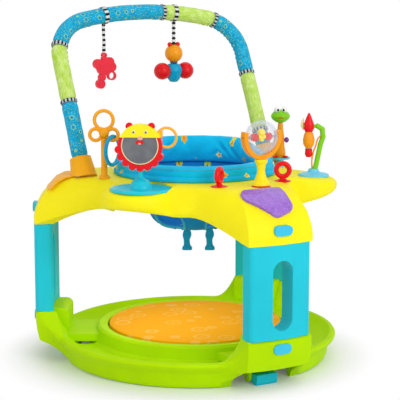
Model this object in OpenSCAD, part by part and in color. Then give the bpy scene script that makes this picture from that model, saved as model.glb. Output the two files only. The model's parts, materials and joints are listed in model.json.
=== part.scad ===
// Baby activity saucer: dish base, three columns, tray, turning seat, toy arch and toys.
// Millimetres. The floor is z = 0, the seat turns about Z, the front column stands at -60 degrees.

// which piece is drawn

/* [Base] */
// radius of the rolled rim
rim_r = 330; // [320:1:338]
// height of the rim
rim_z = 61; // [56:1:66]
// radius of the floor pad
pad_r = 203; // [185:1:208]
// how far the floor pad gives
pad_travel = 7; // [4:0.5:7]

/* [Columns] */
// radius of the circle through the middle of the columns
leg_ring_r = 354; // [350:1:364]
// column thickness
leg_t = 42; // [40:1:46]
// column width
leg_w = 152; // [140:1:160]
// height of the columns' lower edge
leg_foot_z = 115; // [110:1:122]
// column height
leg_h = 205; // [190:1:225]
// width of the carry slot
slot_w = 50; // [40:1:56]
// height of the carry slot
slot_h = 152; // [120:1:170]

/* [Tray] */
// height of the deck above the columns
tray_h = 111; // [106:1:118]
// radius of the seat opening
hole_r = 182; // [176:1:184]
// radius of the skirt between the lobes
waist_r = 247; // [243:1:252]
// radius at which the lobes are centred
pod_ring_r = 250; // [246:1:254]
// radius of a lobe
pod_a = 80; // [76:1:84]

/* [Seat] */
// depth of the fabric bucket below the deck
bucket_depth = 131; // [115:1:140]
// height of the front roll above the deck
roll_h = 38; // [30:1:44]
// height of the seat back above the deck
back_h = 72; // [60:1:80]

/* [Arch] */
// half the distance between the arch posts
arch_half = 249; // [240:1:256]
// height of the arch along its own plane
arch_h = 369; // [350:1:385]
// lean of the arch plane
arch_lean = 25; // [20:1:27]
// radius of the padded sleeve
sleeve_r = 18.5; // [16:0.5:19]

/* [Toys] */
// radius of the mirror toy
mirror_r = 48; // [42:1:50]
// radius of the clear ball
ball_r = 36; // [30:0.5:37]
// outer radius of the link loops
loop_r = 20; // [17:0.5:21]
// radius of the frog's head
frog_head_r = 21; // [18:0.5:22]
// radius of the hanging ring
hang_r = 32; // [28:0.5:33]
// radius of the bug's head
bug_head_r = 22; // [19:0.5:23]

/* [Clearances] */
// air between neighbouring pieces
gap = 0.3; // [0.25:0.05:0.4]
// radial running clearance of pins
fit = 0.05; // [0.03:0.01:0.08]

/* [Hidden] */
overrun = 2;
wide_fn = 180;
round_fn = 64;
small_fn = 32;
leg_angles = [180, -60, 60];
sector = 120;
half_sector = sector / 2;
half_turn = 180;
quarter = 90;
leg_in_r = leg_ring_r - leg_t / 2;
leg_out_r = leg_ring_r + leg_t / 2;
leg_top_z = leg_foot_z + leg_h;
leg_half_a = asin(leg_w / 2 / leg_ring_r);
deck_z = leg_top_z + tray_h;
wall = 5;
button_stand = 2.5;
// the origin is the middle of the outline, so the turning axis stands beside it
frame_x = (leg_out_r + button_stand - rim_r) / 2;
module framed(a = 0) translate([frame_x, 0, 0]) rotate([0, 0, a]) children();

// curves shared by the lofted pieces
function mix(p, q, w) = p * (1 - w) + q * w;
function clamp01(t) = max(0, min(1, t));
function ease(t) = let (c = clamp01(t)) c * c * (3 - 2 * c);
function fall(t, power) = pow(1 - clamp01(t), power);
function leg_off(a) = min([for (g = leg_angles) abs((a - g + 3 * half_turn) % (2 * half_turn) - half_turn)]);
function both_ways(offs) = concat([for (i = [len(offs) - 2:-1:1]) -offs[i]], offs);
function all_round(offs) = [for (g = [-half_sector, half_sector, half_turn]) for (o = both_ways(offs)) g + o];
function loft_points(angles, section) = [for (a = angles) for (p = section(a)) [p[0] * cos(a), p[0] * sin(a), p[1]]];
function loft_faces(n, m) = [
  for (s = [0:n - 1]) for (i = [0:m - 1])
    let (a = s * m + i, b = s * m + (i + 1) % m, t = (s + 1) % n * m, c = t + (i + 1) % m, d = t + i)
      each [[a, d, c], [a, c, b]]
];

// a closed ring lofted through the sections at the given angles
module ring_loft(angles, section) {
  n = len(angles);
  m = len(section(angles[0]));
  polyhedron(loft_points(angles, section), loft_faces(n, m), convexity = 10);
}

// a closed bowl: each section starts and ends on the axis
module bowl_loft(angles, section) {
  n = len(angles);
  whole = section(angles[0]);
  last = len(whole) - 1;
  m = last - 1;
  rows = [for (a = angles) let (s = section(a)) for (i = [1:last - 1]) [s[i][0] * cos(a), s[i][0] * sin(a), s[i][1]]];
  top = n * m;
  under = top + 1;
  skin = [
    for (s = [0:n - 1]) for (i = [0:m - 2])
      let (a = s * m + i, t = (s + 1) % n * m + i) each [[a, t, t + 1], [a, t + 1, a + 1]]
  ];
  caps = [for (s = [0:n - 1]) let (a = s * m, t = (s + 1) % n * m) each [[top, t, a], [a + m - 1, t + m - 1, under]]];
  polyhedron(concat(rows, [[0, 0, whole[0][1]], [0, 0, whole[last][1]]]), concat(skin, caps), convexity = 10);
}

module polar(a, r, z) rotate([0, 0, a]) translate([r, 0, z]) children();
module along_x(a = 0) rotate([a, quarter, 0]) children();

// an oval prism along X, w wide in Y and h high in Z
module oval_x(w, h, len) {
  for (s = [-1, 1]) translate([0, s * (w - h) / 2, 0]) along_x() cylinder(d = h, h = len, $fn = small_fn);
  translate([0, -(w - h) / 2, -h / 2]) cube([len, w - h, h]);
}

// a block cut from a tube about Z, w wide, on the X side
module arc_block(r0, r1, w, z0, h) {
  intersection() {
    translate([0, 0, z0]) difference() {
      cylinder(r = r1, h = h, $fn = wide_fn);
      translate([0, 0, -overrun]) cylinder(r = r0, h = h + 2 * overrun, $fn = wide_fn);
    }
    translate([0, -w / 2, z0 - overrun]) cube([r1 + overrun, w, h + 2 * overrun]);
  }
}

module torus(r, t, fn = round_fn) rotate_extrude($fn = fn) translate([r, 0]) circle(r = t, $fn = small_fn);
module turned(points, fn = round_fn) rotate_extrude($fn = fn) polygon(points);

// base section: sizes
edge = 5;
pad_slit = 4;
well_r = pad_r + pad_slit;
ledge_w = 24;
platform_r = well_r + ledge_w;
ledge_rise = 13;
platform_z = rim_z + ledge_rise;
pad_t = 12;
pad_drop_share = 0.65;
pad_z = platform_z - pad_t * pad_drop_share;
well_z = pad_z - pad_travel - edge / 5;
channel_share = 0.62;
channel_z = rim_z * channel_share;
hub_r = 30;
arm_fade = 9;
arm_power = 2.2;
base_core = [
  [hub_r, well_z], [well_r, well_z], [well_r, platform_z - edge / 2], [well_r + edge, platform_z],
  [platform_r - edge, platform_z], [platform_r, platform_z - edge], [platform_r + edge, channel_z + 1.5 * edge],
  [platform_r + 3 * edge, channel_z]
];
// rim between the arms: share of the way from platform to rim, share of the rim height
rim_shares = [
  [0.535, 0.623], [0.747, 0.77], [0.828, 0.934], [0.869, 0.99], [0.92, 1], [0.97, 0.967], [1, 0.885], [0.97, 0.77],
  [0.889, 0.656], [0.828, 0.508], [0.808, 0.23], [0.758, 0.05], [0.697, 0], [0.616, 0], [0.566, 0.131], [0.515, 0.541]
];
// the same line at an arm: share of the way from platform to column face, share of the column's foot height
arm_shares = [
  [0.34, 0.365], [0.479, 0.504], [0.604, 0.765], [0.68, 0.983], [0.715, 1], [0.965, 1], [1, 0.965], [1, 0.8],
  [0.985, 0.6], [0.95, 0.42], [0.8, 0.36], [0.514, 0.235], [0.451, 0], [0.41, 0], [0.382, 0.07], [0.34, 0.313]
];
base_under = [
  [platform_r + 2 * edge, channel_z - wall], [platform_r - wall, platform_z - 2 * wall],
  [well_r - wall / 2, well_z - wall], [hub_r, well_z - wall]
];
rim_line = [for (s = rim_shares) [platform_r + s[0] * (rim_r - platform_r), s[1] * rim_z]];
arm_line = [for (s = arm_shares) [platform_r + s[0] * (leg_out_r - platform_r), s[1] * leg_foot_z]];
base_section = function (a) let (w = fall((leg_off(a) - leg_half_a) / arm_fade, arm_power))
  concat(base_core, [for (i = [0:len(rim_line) - 1]) mix(rim_line[i], arm_line[i], w)], base_under);
arm_stations = [0, 0.12, 0.25, 0.4, 0.6, 0.8, 1];
rim_stations = [0.13, 0.27, 0.41, 0.55, 0.69, 0.83, 1];
arm_end_a = leg_half_a + arm_fade;
base_offs = concat(
  [0, leg_half_a / 2], [for (s = arm_stations) leg_half_a + s * arm_fade],
  [for (s = rim_stations) mix(arm_end_a, half_sector, s)]
);

// column tongues, sockets and release buttons
tongue_wall = 13;
tongue_inset = 8;
tongue_side = 15;
tongue_w = leg_w - 2 * tongue_side;
tongue_in_r = leg_in_r + tongue_inset;
tongue_out_r = leg_out_r - tongue_wall;
low_tongue = 39;
high_tongue = 48;
button_w = 44;
button_h = 22;
button_lip = 3;
button_travel = 4;
low_button_drop = 21;
low_button_z = leg_foot_z - low_button_drop;
high_button_rise = 30;
high_button_z = leg_top_z + high_button_rise;
// inner ear behind each column
ear_t = 34;
ear_in_r = leg_in_r - ear_t;
ear_side = 20;
ear_w = leg_w - 2 * ear_side;
ear_rise = 4;
ear_z = leg_foot_z + ear_rise;
ear_round = 15;
ear_root = 62;
ear_root_z = leg_foot_z - ear_root;
// fold-out feet
foot_w = 53;
foot_pin_r = 3;
foot_inset = 70;
foot_pivot_r = leg_ring_r - foot_inset;
foot_pivot_z = 15;
foot_knuckle_r = 9;
foot_reach = 32;
foot_toe_h = 24;
lug_t = 7;
lug_r = 11;
recess_z = 44;
recess_back = 36;
bridge_h = 17;
recess_in_r = foot_pivot_r - recess_back;
// floor pad
post_r = 6;
post_ring_share = 0.6;
post_ring_r = pad_r * post_ring_share;
post_len = 26;
pad_dome = 2.5;

module base_saucer() {
  color("yellowgreen")
  difference() {
    union() {
      difference() {
        ring_loft(all_round(base_offs), base_section);
        for (g = leg_angles) rotate([0, 0, g]) translate([recess_in_r, -leg_w / 2, -overrun])
          cube([leg_out_r, leg_w, recess_z + overrun]);
      }
      for (g = leg_angles) rotate([0, 0, g]) {
        intersection() {
          rotate([0, 0, -leg_half_a]) rotate_extrude(angle = 2 * leg_half_a, $fn = wide_fn) ear_outline();
          translate([0, -ear_w / 2, 0]) cube([leg_out_r, ear_w, 2 * leg_top_z]);
        }
        arc_block(platform_r - wall / 2, ear_in_r + wall, leg_w - 2 * edge, recess_z - gap, bridge_h);
        for (s = [-1, 1]) translate([foot_pivot_r, s * (foot_w / 2 + gap + lug_t / 2), 0]) lug();
      }
    }
    for (g = leg_angles) rotate([0, 0, g]) {
      arc_block(tongue_in_r - gap, tongue_out_r + gap, tongue_w + 2 * gap, leg_foot_z - low_tongue - gap,
        low_tongue + overrun);
      translate([tongue_out_r - overrun, 0, low_button_z])
        oval_x(button_w + 2 * gap, button_h + 2 * gap, tongue_wall + 2 * overrun);
      translate([foot_pivot_r, -leg_w / 2, foot_pivot_z]) rotate([-quarter, 0, 0])
        cylinder(r = foot_pin_r + fit, h = leg_w, $fn = small_fn);
    }
    for (k = [0:2]) polar(k * sector, post_ring_r, 0) cylinder(r = post_r + fit, h = platform_z, $fn = small_fn);
  }
}

module ear_outline() {
  difference() {
    translate([ear_in_r, ear_root_z]) square([leg_in_r - gap - ear_in_r, ear_z - ear_root_z]);
    translate([ear_in_r - overrun, ear_z - ear_round]) square([ear_round + overrun, ear_round + overrun]);
  }
  translate([ear_in_r + ear_round, ear_z - ear_round]) circle(r = ear_round, $fn = small_fn);
}

// one hanger plate of a fold-out foot
module lug() {
  translate([0, lug_t / 2, foot_pivot_z]) rotate([quarter, 0, 0]) {
    cylinder(r = lug_r, h = lug_t, $fn = small_fn);
    translate([-lug_r, 0, 0]) cube([2 * lug_r, recess_z, lug_t]);
  }
}

module bounce_pad() {
  color("orange") {
    translate([0, 0, pad_z]) turned([
      [0, 0], [pad_r - edge / 5, 0], [pad_r, edge / 5], [pad_r, pad_t - edge], [pad_r - edge / 5, pad_t - edge / 2],
      [pad_r - edge, pad_t - edge / 5], [pad_r / 2, pad_t + pad_dome / 2], [0, pad_t + pad_dome]
    ], wide_fn);
    for (k = [0:2]) polar(k * sector, post_ring_r, pad_z - post_len)
      cylinder(r = post_r, h = post_len + edge, $fn = small_fn);
  }
}

// a curved block whose upright edges are rounded by c, drawn as one outline
arc_steps = 8;
corner_steps = 6;
function heading(a) = [cos(a), sin(a)];
module round_block(r0, r1, w, z0, h, c) {
  b0 = asin((w / 2 - c) / (r0 + c));
  b1 = asin((w / 2 - c) / (r1 - c));
  side = concat(
    [for (k = [0:arc_steps]) r1 * heading(b1 * k / arc_steps)],
    [for (k = [1:corner_steps]) (r1 - c) * heading(b1) + c * heading(mix(b1, quarter, k / corner_steps))],
    [for (k = [0:corner_steps]) (r0 + c) * heading(b0) + c * heading(mix(quarter, half_turn + b0, k / corner_steps))],
    [for (k = [1:arc_steps]) r0 * heading(b0 * (1 - k / arc_steps))]
  );
  other = [for (i = [len(side) - 2:-1:1]) [side[i][0], -side[i][1]]];
  translate([0, 0, z0]) linear_extrude(height = h) polygon(concat(side, other));
}

column_round = 12;
slot_drop = 8;
module column() {
  color("darkturquoise")
  difference() {
    union() {
      round_block(leg_in_r, leg_out_r, leg_w, leg_foot_z + gap, leg_h - 2 * gap, column_round);
      arc_block(tongue_in_r, tongue_out_r, tongue_w, leg_foot_z - low_tongue, low_tongue + leg_h + high_tongue);
    }
    translate([leg_in_r - 2 * leg_t, 0, leg_foot_z + leg_h / 2 - slot_drop]) rotate([quarter, 0, 0]) rotate([0, quarter, 0])
      slot_prism();
    for (z = [low_button_z, high_button_z]) translate([tongue_out_r - 3 * button_lip - button_travel, 0, z])
      oval_x(button_w + 3 * button_lip, button_h + 3 * button_lip, leg_t);
  }
}

// the carry slot, drawn along Z and as high as Y
module slot_prism() {
  linear_extrude(height = 4 * leg_t) {
    for (s = [-1, 1]) translate([0, s * (slot_h - slot_w) / 2]) circle(d = slot_w, $fn = round_fn);
    square([slot_w, slot_h - slot_w], center = true);
  }
}

// release button: cap outside, lip held behind the socket wall
module button(z) {
  color("deepskyblue")
  translate([0, 0, z]) {
    translate([tongue_out_r - button_lip, 0, 0]) oval_x(button_w, button_h, tongue_wall + button_lip + button_stand);
    translate([tongue_out_r - button_lip - 3 * gap, 0, 0])
      oval_x(button_w + 2 * button_lip, button_h + 2 * button_lip, button_lip);
  }
}

module fold_foot() {
  toe_x = foot_reach;
  color("deepskyblue")
  translate([foot_pivot_r, foot_w / 2, foot_pivot_z]) rotate([quarter, 0, 0])
  difference() {
    linear_extrude(height = foot_w) {
      circle(r = foot_knuckle_r, $fn = small_fn);
      polygon([
        [0, -foot_knuckle_r], [toe_x - foot_toe_h / 2, -foot_pivot_z], [toe_x - foot_toe_h / 6, -foot_pivot_z],
        [toe_x, foot_toe_h / 4 - foot_pivot_z], [toe_x, foot_toe_h - foot_pivot_z], [foot_toe_h / 4, foot_knuckle_r]
      ]);
    }
    translate([0, 0, -overrun]) cylinder(r = foot_pin_r + fit, h = foot_w + 2 * overrun, $fn = small_fn);
  }
}

module foot_pins() {
  pin_len = foot_w + 2 * (gap + lug_t);
  color("silver")
  for (g = leg_angles) rotate([0, 0, g]) translate([foot_pivot_r, -pin_len / 2, foot_pivot_z])
    rotate([-quarter, 0, 0]) cylinder(r = foot_pin_r, h = pin_len, $fn = small_fn);
}

// tray section: share of the way from the seat opening to the outer line, share of the skirt's drop
waist_drop_share = 0.61;
waist_drop = tray_h * waist_drop_share;
pod_drop_share = 0.424;
pod_drop = tray_h * pod_drop_share;
pod_out_r = pod_ring_r + pod_a;
pod_half_a = asin(pod_a / pod_ring_r);
tray_fade = 20;
tray_r_power = 1.6;
tray_z_power = 2.3;
pod_blend = 0.1;
lip_t = 6;
lip_h = 21;
lip_root = 9;
waist_shares = [
  [0.28, 0.01], [0.615, 0.036], [0.77, 0.07], [0.877, 0.16], [0.954, 0.32], [1, 0.55], [1, 0.77], [0.97, 0.91],
  [0.923, 0.98], [0.877, 1], [0.815, 1], [0.83, 0.84], [0.86, 0.55], [0.815, 0.32], [0.68, 0.16], [0.43, 0.116]
];
pod_shares = [
  [0.12, 0.18], [0.784, 0.213], [0.89, 0.26], [0.953, 0.34], [0.986, 0.45], [1, 0.58], [0.986, 0.765], [0.953, 0.91],
  [0.912, 0.98], [0.878, 1], [0.838, 1], [0.872, 0.9], [0.93, 0.68], [0.905, 0.54], [0.83, 0.45], [0.19, 0.42]
];
leg_shares = [
  [0.12, 0.005], [0.534, 0.01], [0.627, 0.045], [0.725, 0.126], [0.834, 0.29], [0.907, 0.43], [0.953, 0.586],
  [0.984, 0.73], [1, 0.874], [1, 1], [0.782, 1], [0.782, 0.586], [0.767, 0.42], [0.705, 0.29], [0.59, 0.153],
  [0.3, 0.08]
];
function tray_line(shares, out_r, drop) = [for (s = shares) [mix(hole_r, out_r, s[0]), deck_z - s[1] * drop]];
waist_line = tray_line(waist_shares, waist_r, waist_drop);
pod_line = tray_line(pod_shares, pod_out_r, pod_drop);
leg_line = tray_line(leg_shares, leg_out_r, tray_h);
function pod_polar(f) = abs(pod_ring_r * sin(f)) < pod_a
  ? pod_ring_r * cos(f) + sqrt(pod_a * pod_a - pow(pod_ring_r * sin(f), 2)) : 0;
function soft_max(p, q, k) = max(p, q) + ln(1 + exp(-k * abs(p - q))) / k;
function pod_weight(f) = clamp01((soft_max(waist_r, pod_polar(f), pod_blend) - waist_r) / (pod_out_r - waist_r));
tray_section = function (a) let (
    off = leg_off(a),
    t = (off - leg_half_a) / tray_fade,
    wr = fall(t, tray_r_power),
    wz = fall(t, tray_z_power),
    wp = pod_weight(half_sector - off),
    skin = [
      for (i = [0:len(waist_line) - 1]) [
        mix(waist_line[i][0], leg_line[i][0], wr) + wp * (pod_line[i][0] - waist_line[i][0]),
        mix(waist_line[i][1], leg_line[i][1], wz) + wp * (pod_line[i][1] - waist_line[i][1])
      ]
    ]
  ) concat(
    [[hole_r - overrun, deck_z - overrun], [hole_r + overrun, deck_z]], skin,
    [[hole_r + lip_t, deck_z - lip_root], [hole_r + lip_t, deck_z - lip_h], [hole_r - overrun, deck_z - lip_h]]
  );
shoulder_stations = [0, 0.08, 0.16, 0.26, 0.38, 0.52, 0.68, 0.84, 1];
pod_stations = [1.2, 1.08, 1, 0.93, 0.82, 0.68, 0.5, 0.33, 0.16, 0];
tray_offs = concat(
  [0, leg_half_a / 2], [for (s = shoulder_stations) leg_half_a + s * tray_fade],
  [for (s = pod_stations) half_sector - s * pod_half_a]
);

// where the toys stand: angle, radius, seat height, foot radius
peg_r = 6;
peg_len = 16;
// turns the round seats so that their seams miss the loft's edges
seat_turn = 11;
pod_seat_share = 0.2242;
pod_seat_z = deck_z - pod_seat_share * pod_drop;
seat_sink = 3;
deck_seat_z = deck_z - seat_sink;
mirror_foot_r = 67;
hook_foot_r = 36;
loop_foot_r = 18;
spinner_foot_r = 21;
flower_foot_r = 12;
frog_post_r = 9;
hook_out = 25;
loop_out = 53;
flower_out = 44;
spinner_in = 15;
frog_out = 72;
right_loop_out = 58;
frog_sink = 34;
mirror_at = [-118, pod_ring_r, pod_seat_z, mirror_foot_r];
hook_at = [0, pod_ring_r + hook_out, pod_seat_z, hook_foot_r];
loop_left_at = [-77, hole_r + loop_out, deck_seat_z, loop_foot_r];
loop_right_at = [-35.5, hole_r + right_loop_out, deck_seat_z, loop_foot_r];
spinner_at = [-58, leg_line[1][0] - spinner_in, deck_seat_z, spinner_foot_r];
flower_at = [-155, hole_r + flower_out, deck_seat_z, flower_foot_r];
frog_at = [36, hole_r + frog_out, deck_z - frog_sink, frog_post_r];
toy_seats = [mirror_at, hook_at, loop_left_at, loop_right_at, spinner_at, flower_at];
module at_toy(t) polar(t[0], t[1], t[2]) children();

// arch frame: X along the chord, Z up the leaning plane, origin between the feet
arch_dir = 120;
arch_foot_rise = 29;
arch_foot_z = deck_z + arch_foot_rise;
chord_share = 0.37;
arch_chord = arch_half * chord_share;
tube_r = 9.5;
tube_wall = 1.5;
corner_r = 100;
crown_r = 800;
socket_depth = 40;
collar_r = 25;
collar_h = 8;
crown_half_a = asin((arch_half - corner_r) / (crown_r - corner_r));
corner_a = quarter - crown_half_a;
corner_z = arch_h - crown_r + sqrt(pow(crown_r - corner_r, 2) - pow(arch_half - corner_r, 2));
corner_len = corner_r * corner_a * PI / half_turn;
crown_len = crown_r * 2 * crown_half_a * PI / half_turn;
arch_len = 2 * (corner_z + corner_len) + crown_len;
module at_arch() translate([arch_chord * cos(arch_dir), arch_chord * sin(arch_dir), arch_foot_z])
  rotate([0, 0, arch_dir - quarter]) rotate([-arch_lean, 0, 0]) children();

// a length of the arch from l0 to l1, measured from the left foot: a tube from radius r0 to r
module arch_run(l0, l1, r0, r) {
  knots = [0, corner_z, corner_z + corner_len, corner_z + corner_len + crown_len, arch_len - corner_z, arch_len];
  bends = [0, corner_r, crown_r, corner_r, 0];
  for (k = [1:4]) if (l0 < knots[k] && knots[k] < l1) bridge(k, r0, r);
  for (i = [0:4]) {
    p = i == 0 ? l0 : max(l0, knots[i] + seam / 2);
    q = i == 4 ? l1 : min(l1, knots[i + 1] - seam / 2);
    turn = bends[i] > 0 ? half_turn / PI / bends[i] : 0;
    if (q > p) {
      if (i == 0) translate([-arch_half, 0, p]) pipe(r0, r, q - p);
      if (i == 4) translate([arch_half, 0, arch_len - q]) pipe(r0, r, q - p);
      if (i == 1) translate([corner_r - arch_half, 0, corner_z])
        bend(corner_r, r0, r, half_turn - (q - knots[i]) * turn, (q - p) * turn);
      if (i == 2) translate([0, 0, arch_h - crown_r])
        bend(crown_r, r0, r, quarter + crown_half_a - (q - knots[i]) * turn, (q - p) * turn);
      if (i == 3) translate([arch_half - corner_r, 0, corner_z])
        bend(corner_r, r0, r, corner_a - (q - knots[i]) * turn, (q - p) * turn);
    }
  }
}

// ring inside the wall that joins two lengths at a knot
seam = 0.2;
bridge_len = 8;
bridge_share = 0.15;
module bridge(k, r0, r) {
  side = k < 3 ? -1 : 1;
  on_post = k == 1 || k == 4;
  spot = on_post ? [side * arch_half, 0, corner_z]
    : [side * crown_r * sin(crown_half_a), 0, arch_h - crown_r + crown_r * cos(crown_half_a)];
  translate(spot) rotate([0, on_post ? 0 : quarter + side * crown_half_a, 0]) translate([0, 0, -bridge_len / 2])
    pipe(mix(r0, r, 0.5 - bridge_share), mix(r0, r, 0.5 + bridge_share), bridge_len);
}
module wall_ring(r0, r) {
  difference() {
    circle(r = r, $fn = small_fn);
    circle(r = r0, $fn = small_fn);
  }
}
module pipe(r0, r, h) linear_extrude(height = h) wall_ring(r0, r);

// part of a bent pipe in the XZ plane, from angle a over span
module bend(big, r0, r, a, span) {
  rotate([quarter, 0, 0]) rotate([0, 0, a]) rotate_extrude(angle = span, $fn = wide_fn)
    translate([big, 0]) wall_ring(r0, r);
}

module tray() {
  color("gold")
  difference() {
    ring_loft(all_round(tray_offs), tray_section);
    translate([0, 0, deck_z - 2 * lip_h]) cylinder(r = hole_r, h = 3 * lip_h, $fn = wide_fn);
    for (g = leg_angles) rotate([0, 0, g]) {
      arc_block(tongue_in_r - gap, tongue_out_r + gap, tongue_w + 2 * gap, leg_top_z - overrun,
        high_tongue + overrun + gap);
      translate([tongue_out_r - overrun, 0, high_button_z])
        oval_x(button_w + 2 * gap, button_h + 2 * gap, tongue_wall + 2 * overrun);
    }
    for (t = toy_seats) at_toy(t) rotate([0, 0, seat_turn]) {
      cylinder(r = t[3] + gap, h = lip_h, $fn = round_fn);
      translate([0, 0, -peg_len - overrun]) cylinder(r = peg_r + fit, h = lip_h, $fn = small_fn);
    }
    at_toy(frog_at) translate([0, 0, -lip_h]) cylinder(r = frog_at[3] + fit, h = 3 * lip_h, $fn = small_fn);
    at_arch() for (s = [-1, 1]) translate([s * arch_half, 0, -socket_depth - overrun])
      cylinder(r = collar_r + gap, h = socket_depth + collar_h, $fn = round_fn);
  }
}

// shoulder line of the tray at a column, moved outwards by d at its ends and by m in the middle
shoulder_normal = [0.6, 0.8];
lens_last = 6;
drape_last = 4;
function shoulder(d, m, last) = [for (i = [1:last]) leg_line[i] + shoulder_normal * (i == 1 || i == last ? d : m)];
function backwards(list) = [for (i = [len(list) - 1:-1:0]) list[i]];
lens_edge = 2;
lens_bulge = 7;
lens_tip_r = 20;
lens_mid = (leg_line[2] + leg_line[5]) / 2;
lens_tilt = 38;
lens_corner_shares = [[-0.165, 0.105], [0.1, 0.125], [0.147, -0.03], [-0.13, -0.315]];
lens_depth = 40;

module light_lens() {
  color("mediumpurple")
  rotate([0, 0, leg_angles[1]])
  intersection() {
    rotate([0, 0, -leg_half_a]) rotate_extrude(angle = 2 * leg_half_a, $fn = wide_fn)
      polygon(concat(shoulder(gap * 2, gap * 2, lens_last), backwards(shoulder(lens_edge, lens_bulge, lens_last))));
    translate([lens_mid[0], 0, lens_mid[1]]) rotate([0, lens_tilt, 0]) translate([0, 0, -lens_depth / 2])
      linear_extrude(height = 2 * lens_depth) hull()
        for (c = lens_corner_shares) translate(c * leg_w) circle(r = lens_tip_r, $fn = small_fn);
  }
}

// arch saddle: socket for the post, skirt on the deck and a tongue down the shoulder
skirt_r = 26.5;
skirt_h = 8;
drape_a = 18;
drape_turn = 6;
drape_t = 5;
drape_in = 25;
drape_r = min(norm([arch_half, arch_chord]), leg_line[1][0] - drape_in);
module arch_saddle(side) {
  g = side < 0 ? leg_angles[0] : leg_angles[2];
  color("darkorange")
  difference() {
    union() {
      at_arch() translate([side * arch_half, 0, -socket_depth + edge])
        cylinder(r = collar_r, h = socket_depth + collar_h - edge, $fn = round_fn);
      intersection() {
        at_arch() translate([side * arch_half, 0, -socket_depth])
          cylinder(r1 = skirt_r + skirt_h / 2, r2 = collar_r, h = socket_depth + collar_h / 2, $fn = round_fn);
        translate([-leg_out_r, -leg_out_r, deck_z + gap]) cube([2 * leg_out_r, 2 * leg_out_r, leg_top_z]);
      }
      rotate([0, 0, g - side * drape_turn - drape_a / 2]) rotate_extrude(angle = drape_a, $fn = wide_fn)
        polygon(concat(
          [[drape_r, deck_z + 2 * gap]], shoulder(gap * 2, gap * 2, drape_last),
          backwards(shoulder(lens_edge, drape_t, drape_last)),
          [[drape_r, deck_z + drape_t]]
        ));
    }
    at_arch() translate([side * arch_half, 0, -socket_depth])
      cylinder(r = tube_r + fit, h = 3 * socket_depth, $fn = small_fn);
  }
}

module arch_tube() {
  color("white")
  at_arch() arch_run(-socket_depth + 2 * edge, arch_len + socket_depth - 2 * edge, tube_r - tube_wall, tube_r);
}

// where the fabric changes along the arch, as shares of its length
band_shares = [
  0.009, 0.1269, 0.134, 0.2523, 0.2601, 0.539, 0.5462, 0.667, 0.6742, 0.8175, 0.8246, 0.952, 0.9597, 0.991
];
cuff_stand = 0.8;
cuff_r = sleeve_r + cuff_stand;
module arch_bands(picks, r) {
  at_arch() for (i = picks)
    arch_run(band_shares[i] * arch_len + gap / 2, band_shares[i + 1] * arch_len - gap / 2, tube_r + gap, r);
}
module arch_sleeve_blue() color("dodgerblue") arch_bands([0, 4, 8, 12], sleeve_r);
module arch_sleeve_green() color("greenyellow") arch_bands([2, 6, 10], sleeve_r);
module arch_cuffs() color("dimgray") arch_bands([1, 3, 5, 7, 9, 11], cuff_r);

// seat
ring_wall = 13;
flange_t = 4;
flange_over = 5;
flange_r = hole_r + flange_over;
retainer_t = 5;
ring_in_r = hole_r - ring_wall;
ring_low_z = deck_z - lip_h - 2 * gap - retainer_t;
hem_z = deck_z + flange_t;
cloth_t = 4;
module seat_ring() {
  color("steelblue")
  turned([
    [ring_in_r, ring_low_z], [hole_r - gap, ring_low_z], [hole_r - gap, deck_z + gap], [flange_r, deck_z + gap],
    [flange_r, deck_z + flange_t - gap], [flange_r - gap * 3, deck_z + flange_t], [ring_in_r, deck_z + flange_t]
  ], wide_fn);
}
module seat_retainer() {
  color("steelblue")
  translate([0, 0, ring_low_z]) difference() {
    cylinder(r = hole_r + lip_t, h = retainer_t, $fn = wide_fn);
    translate([0, 0, -overrun]) cylinder(r = hole_r - gap + fit, h = retainer_t + 2 * overrun, $fn = wide_fn);
  }
}

// bucket: share of the hem radius, share of the bucket depth
bucket_shares = [[0, 1], [0.37, 0.995], [0.53, 0.93], [0.63, 0.76], [0.75, 0.42], [0.88, 0.16], [0.96, 0.03]];
hem_r = ring_in_r - gap;
bucket_steps = 40;
fold_count = 8;
fold_share = 0.022;
// thickness of the cloth outwards and downwards, as shares of its own
cloth_shares = [0.9, -0.4];
hole_tilt = 23;
leg_hole_r = 42;
leg_hole_swing = 40;
leg_hole_share = 0.45;
bucket_section = function (a) let (
    low = [for (s = bucket_shares) [
      s[0] * (hem_r - cloth_t) * (1 + fold_share * s[1] * cos(fold_count * a)), deck_z + cloth_t - s[1] * bucket_depth
    ]]
  ) concat(
    low, [[hem_r - cloth_t, hem_z], [hem_r, hem_z]],
    [for (i = [len(low) - 1:-1:1]) low[i] + cloth_t * cloth_shares], [[0, low[0][1] - cloth_t]]
  );
module seat_bucket() {
  color("royalblue")
  difference() {
    bowl_loft([for (k = [0:bucket_steps - 1]) k * 2 * half_turn / bucket_steps], bucket_section);
    for (s = [-1, 1]) translate([0, 0, deck_z - bucket_depth * leg_hole_share])
      rotate([0, 0, s * leg_hole_swing - quarter]) rotate([0, quarter + hole_tilt, 0])
        cylinder(r = leg_hole_r, h = hole_r, $fn = round_fn);
  }
}

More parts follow.
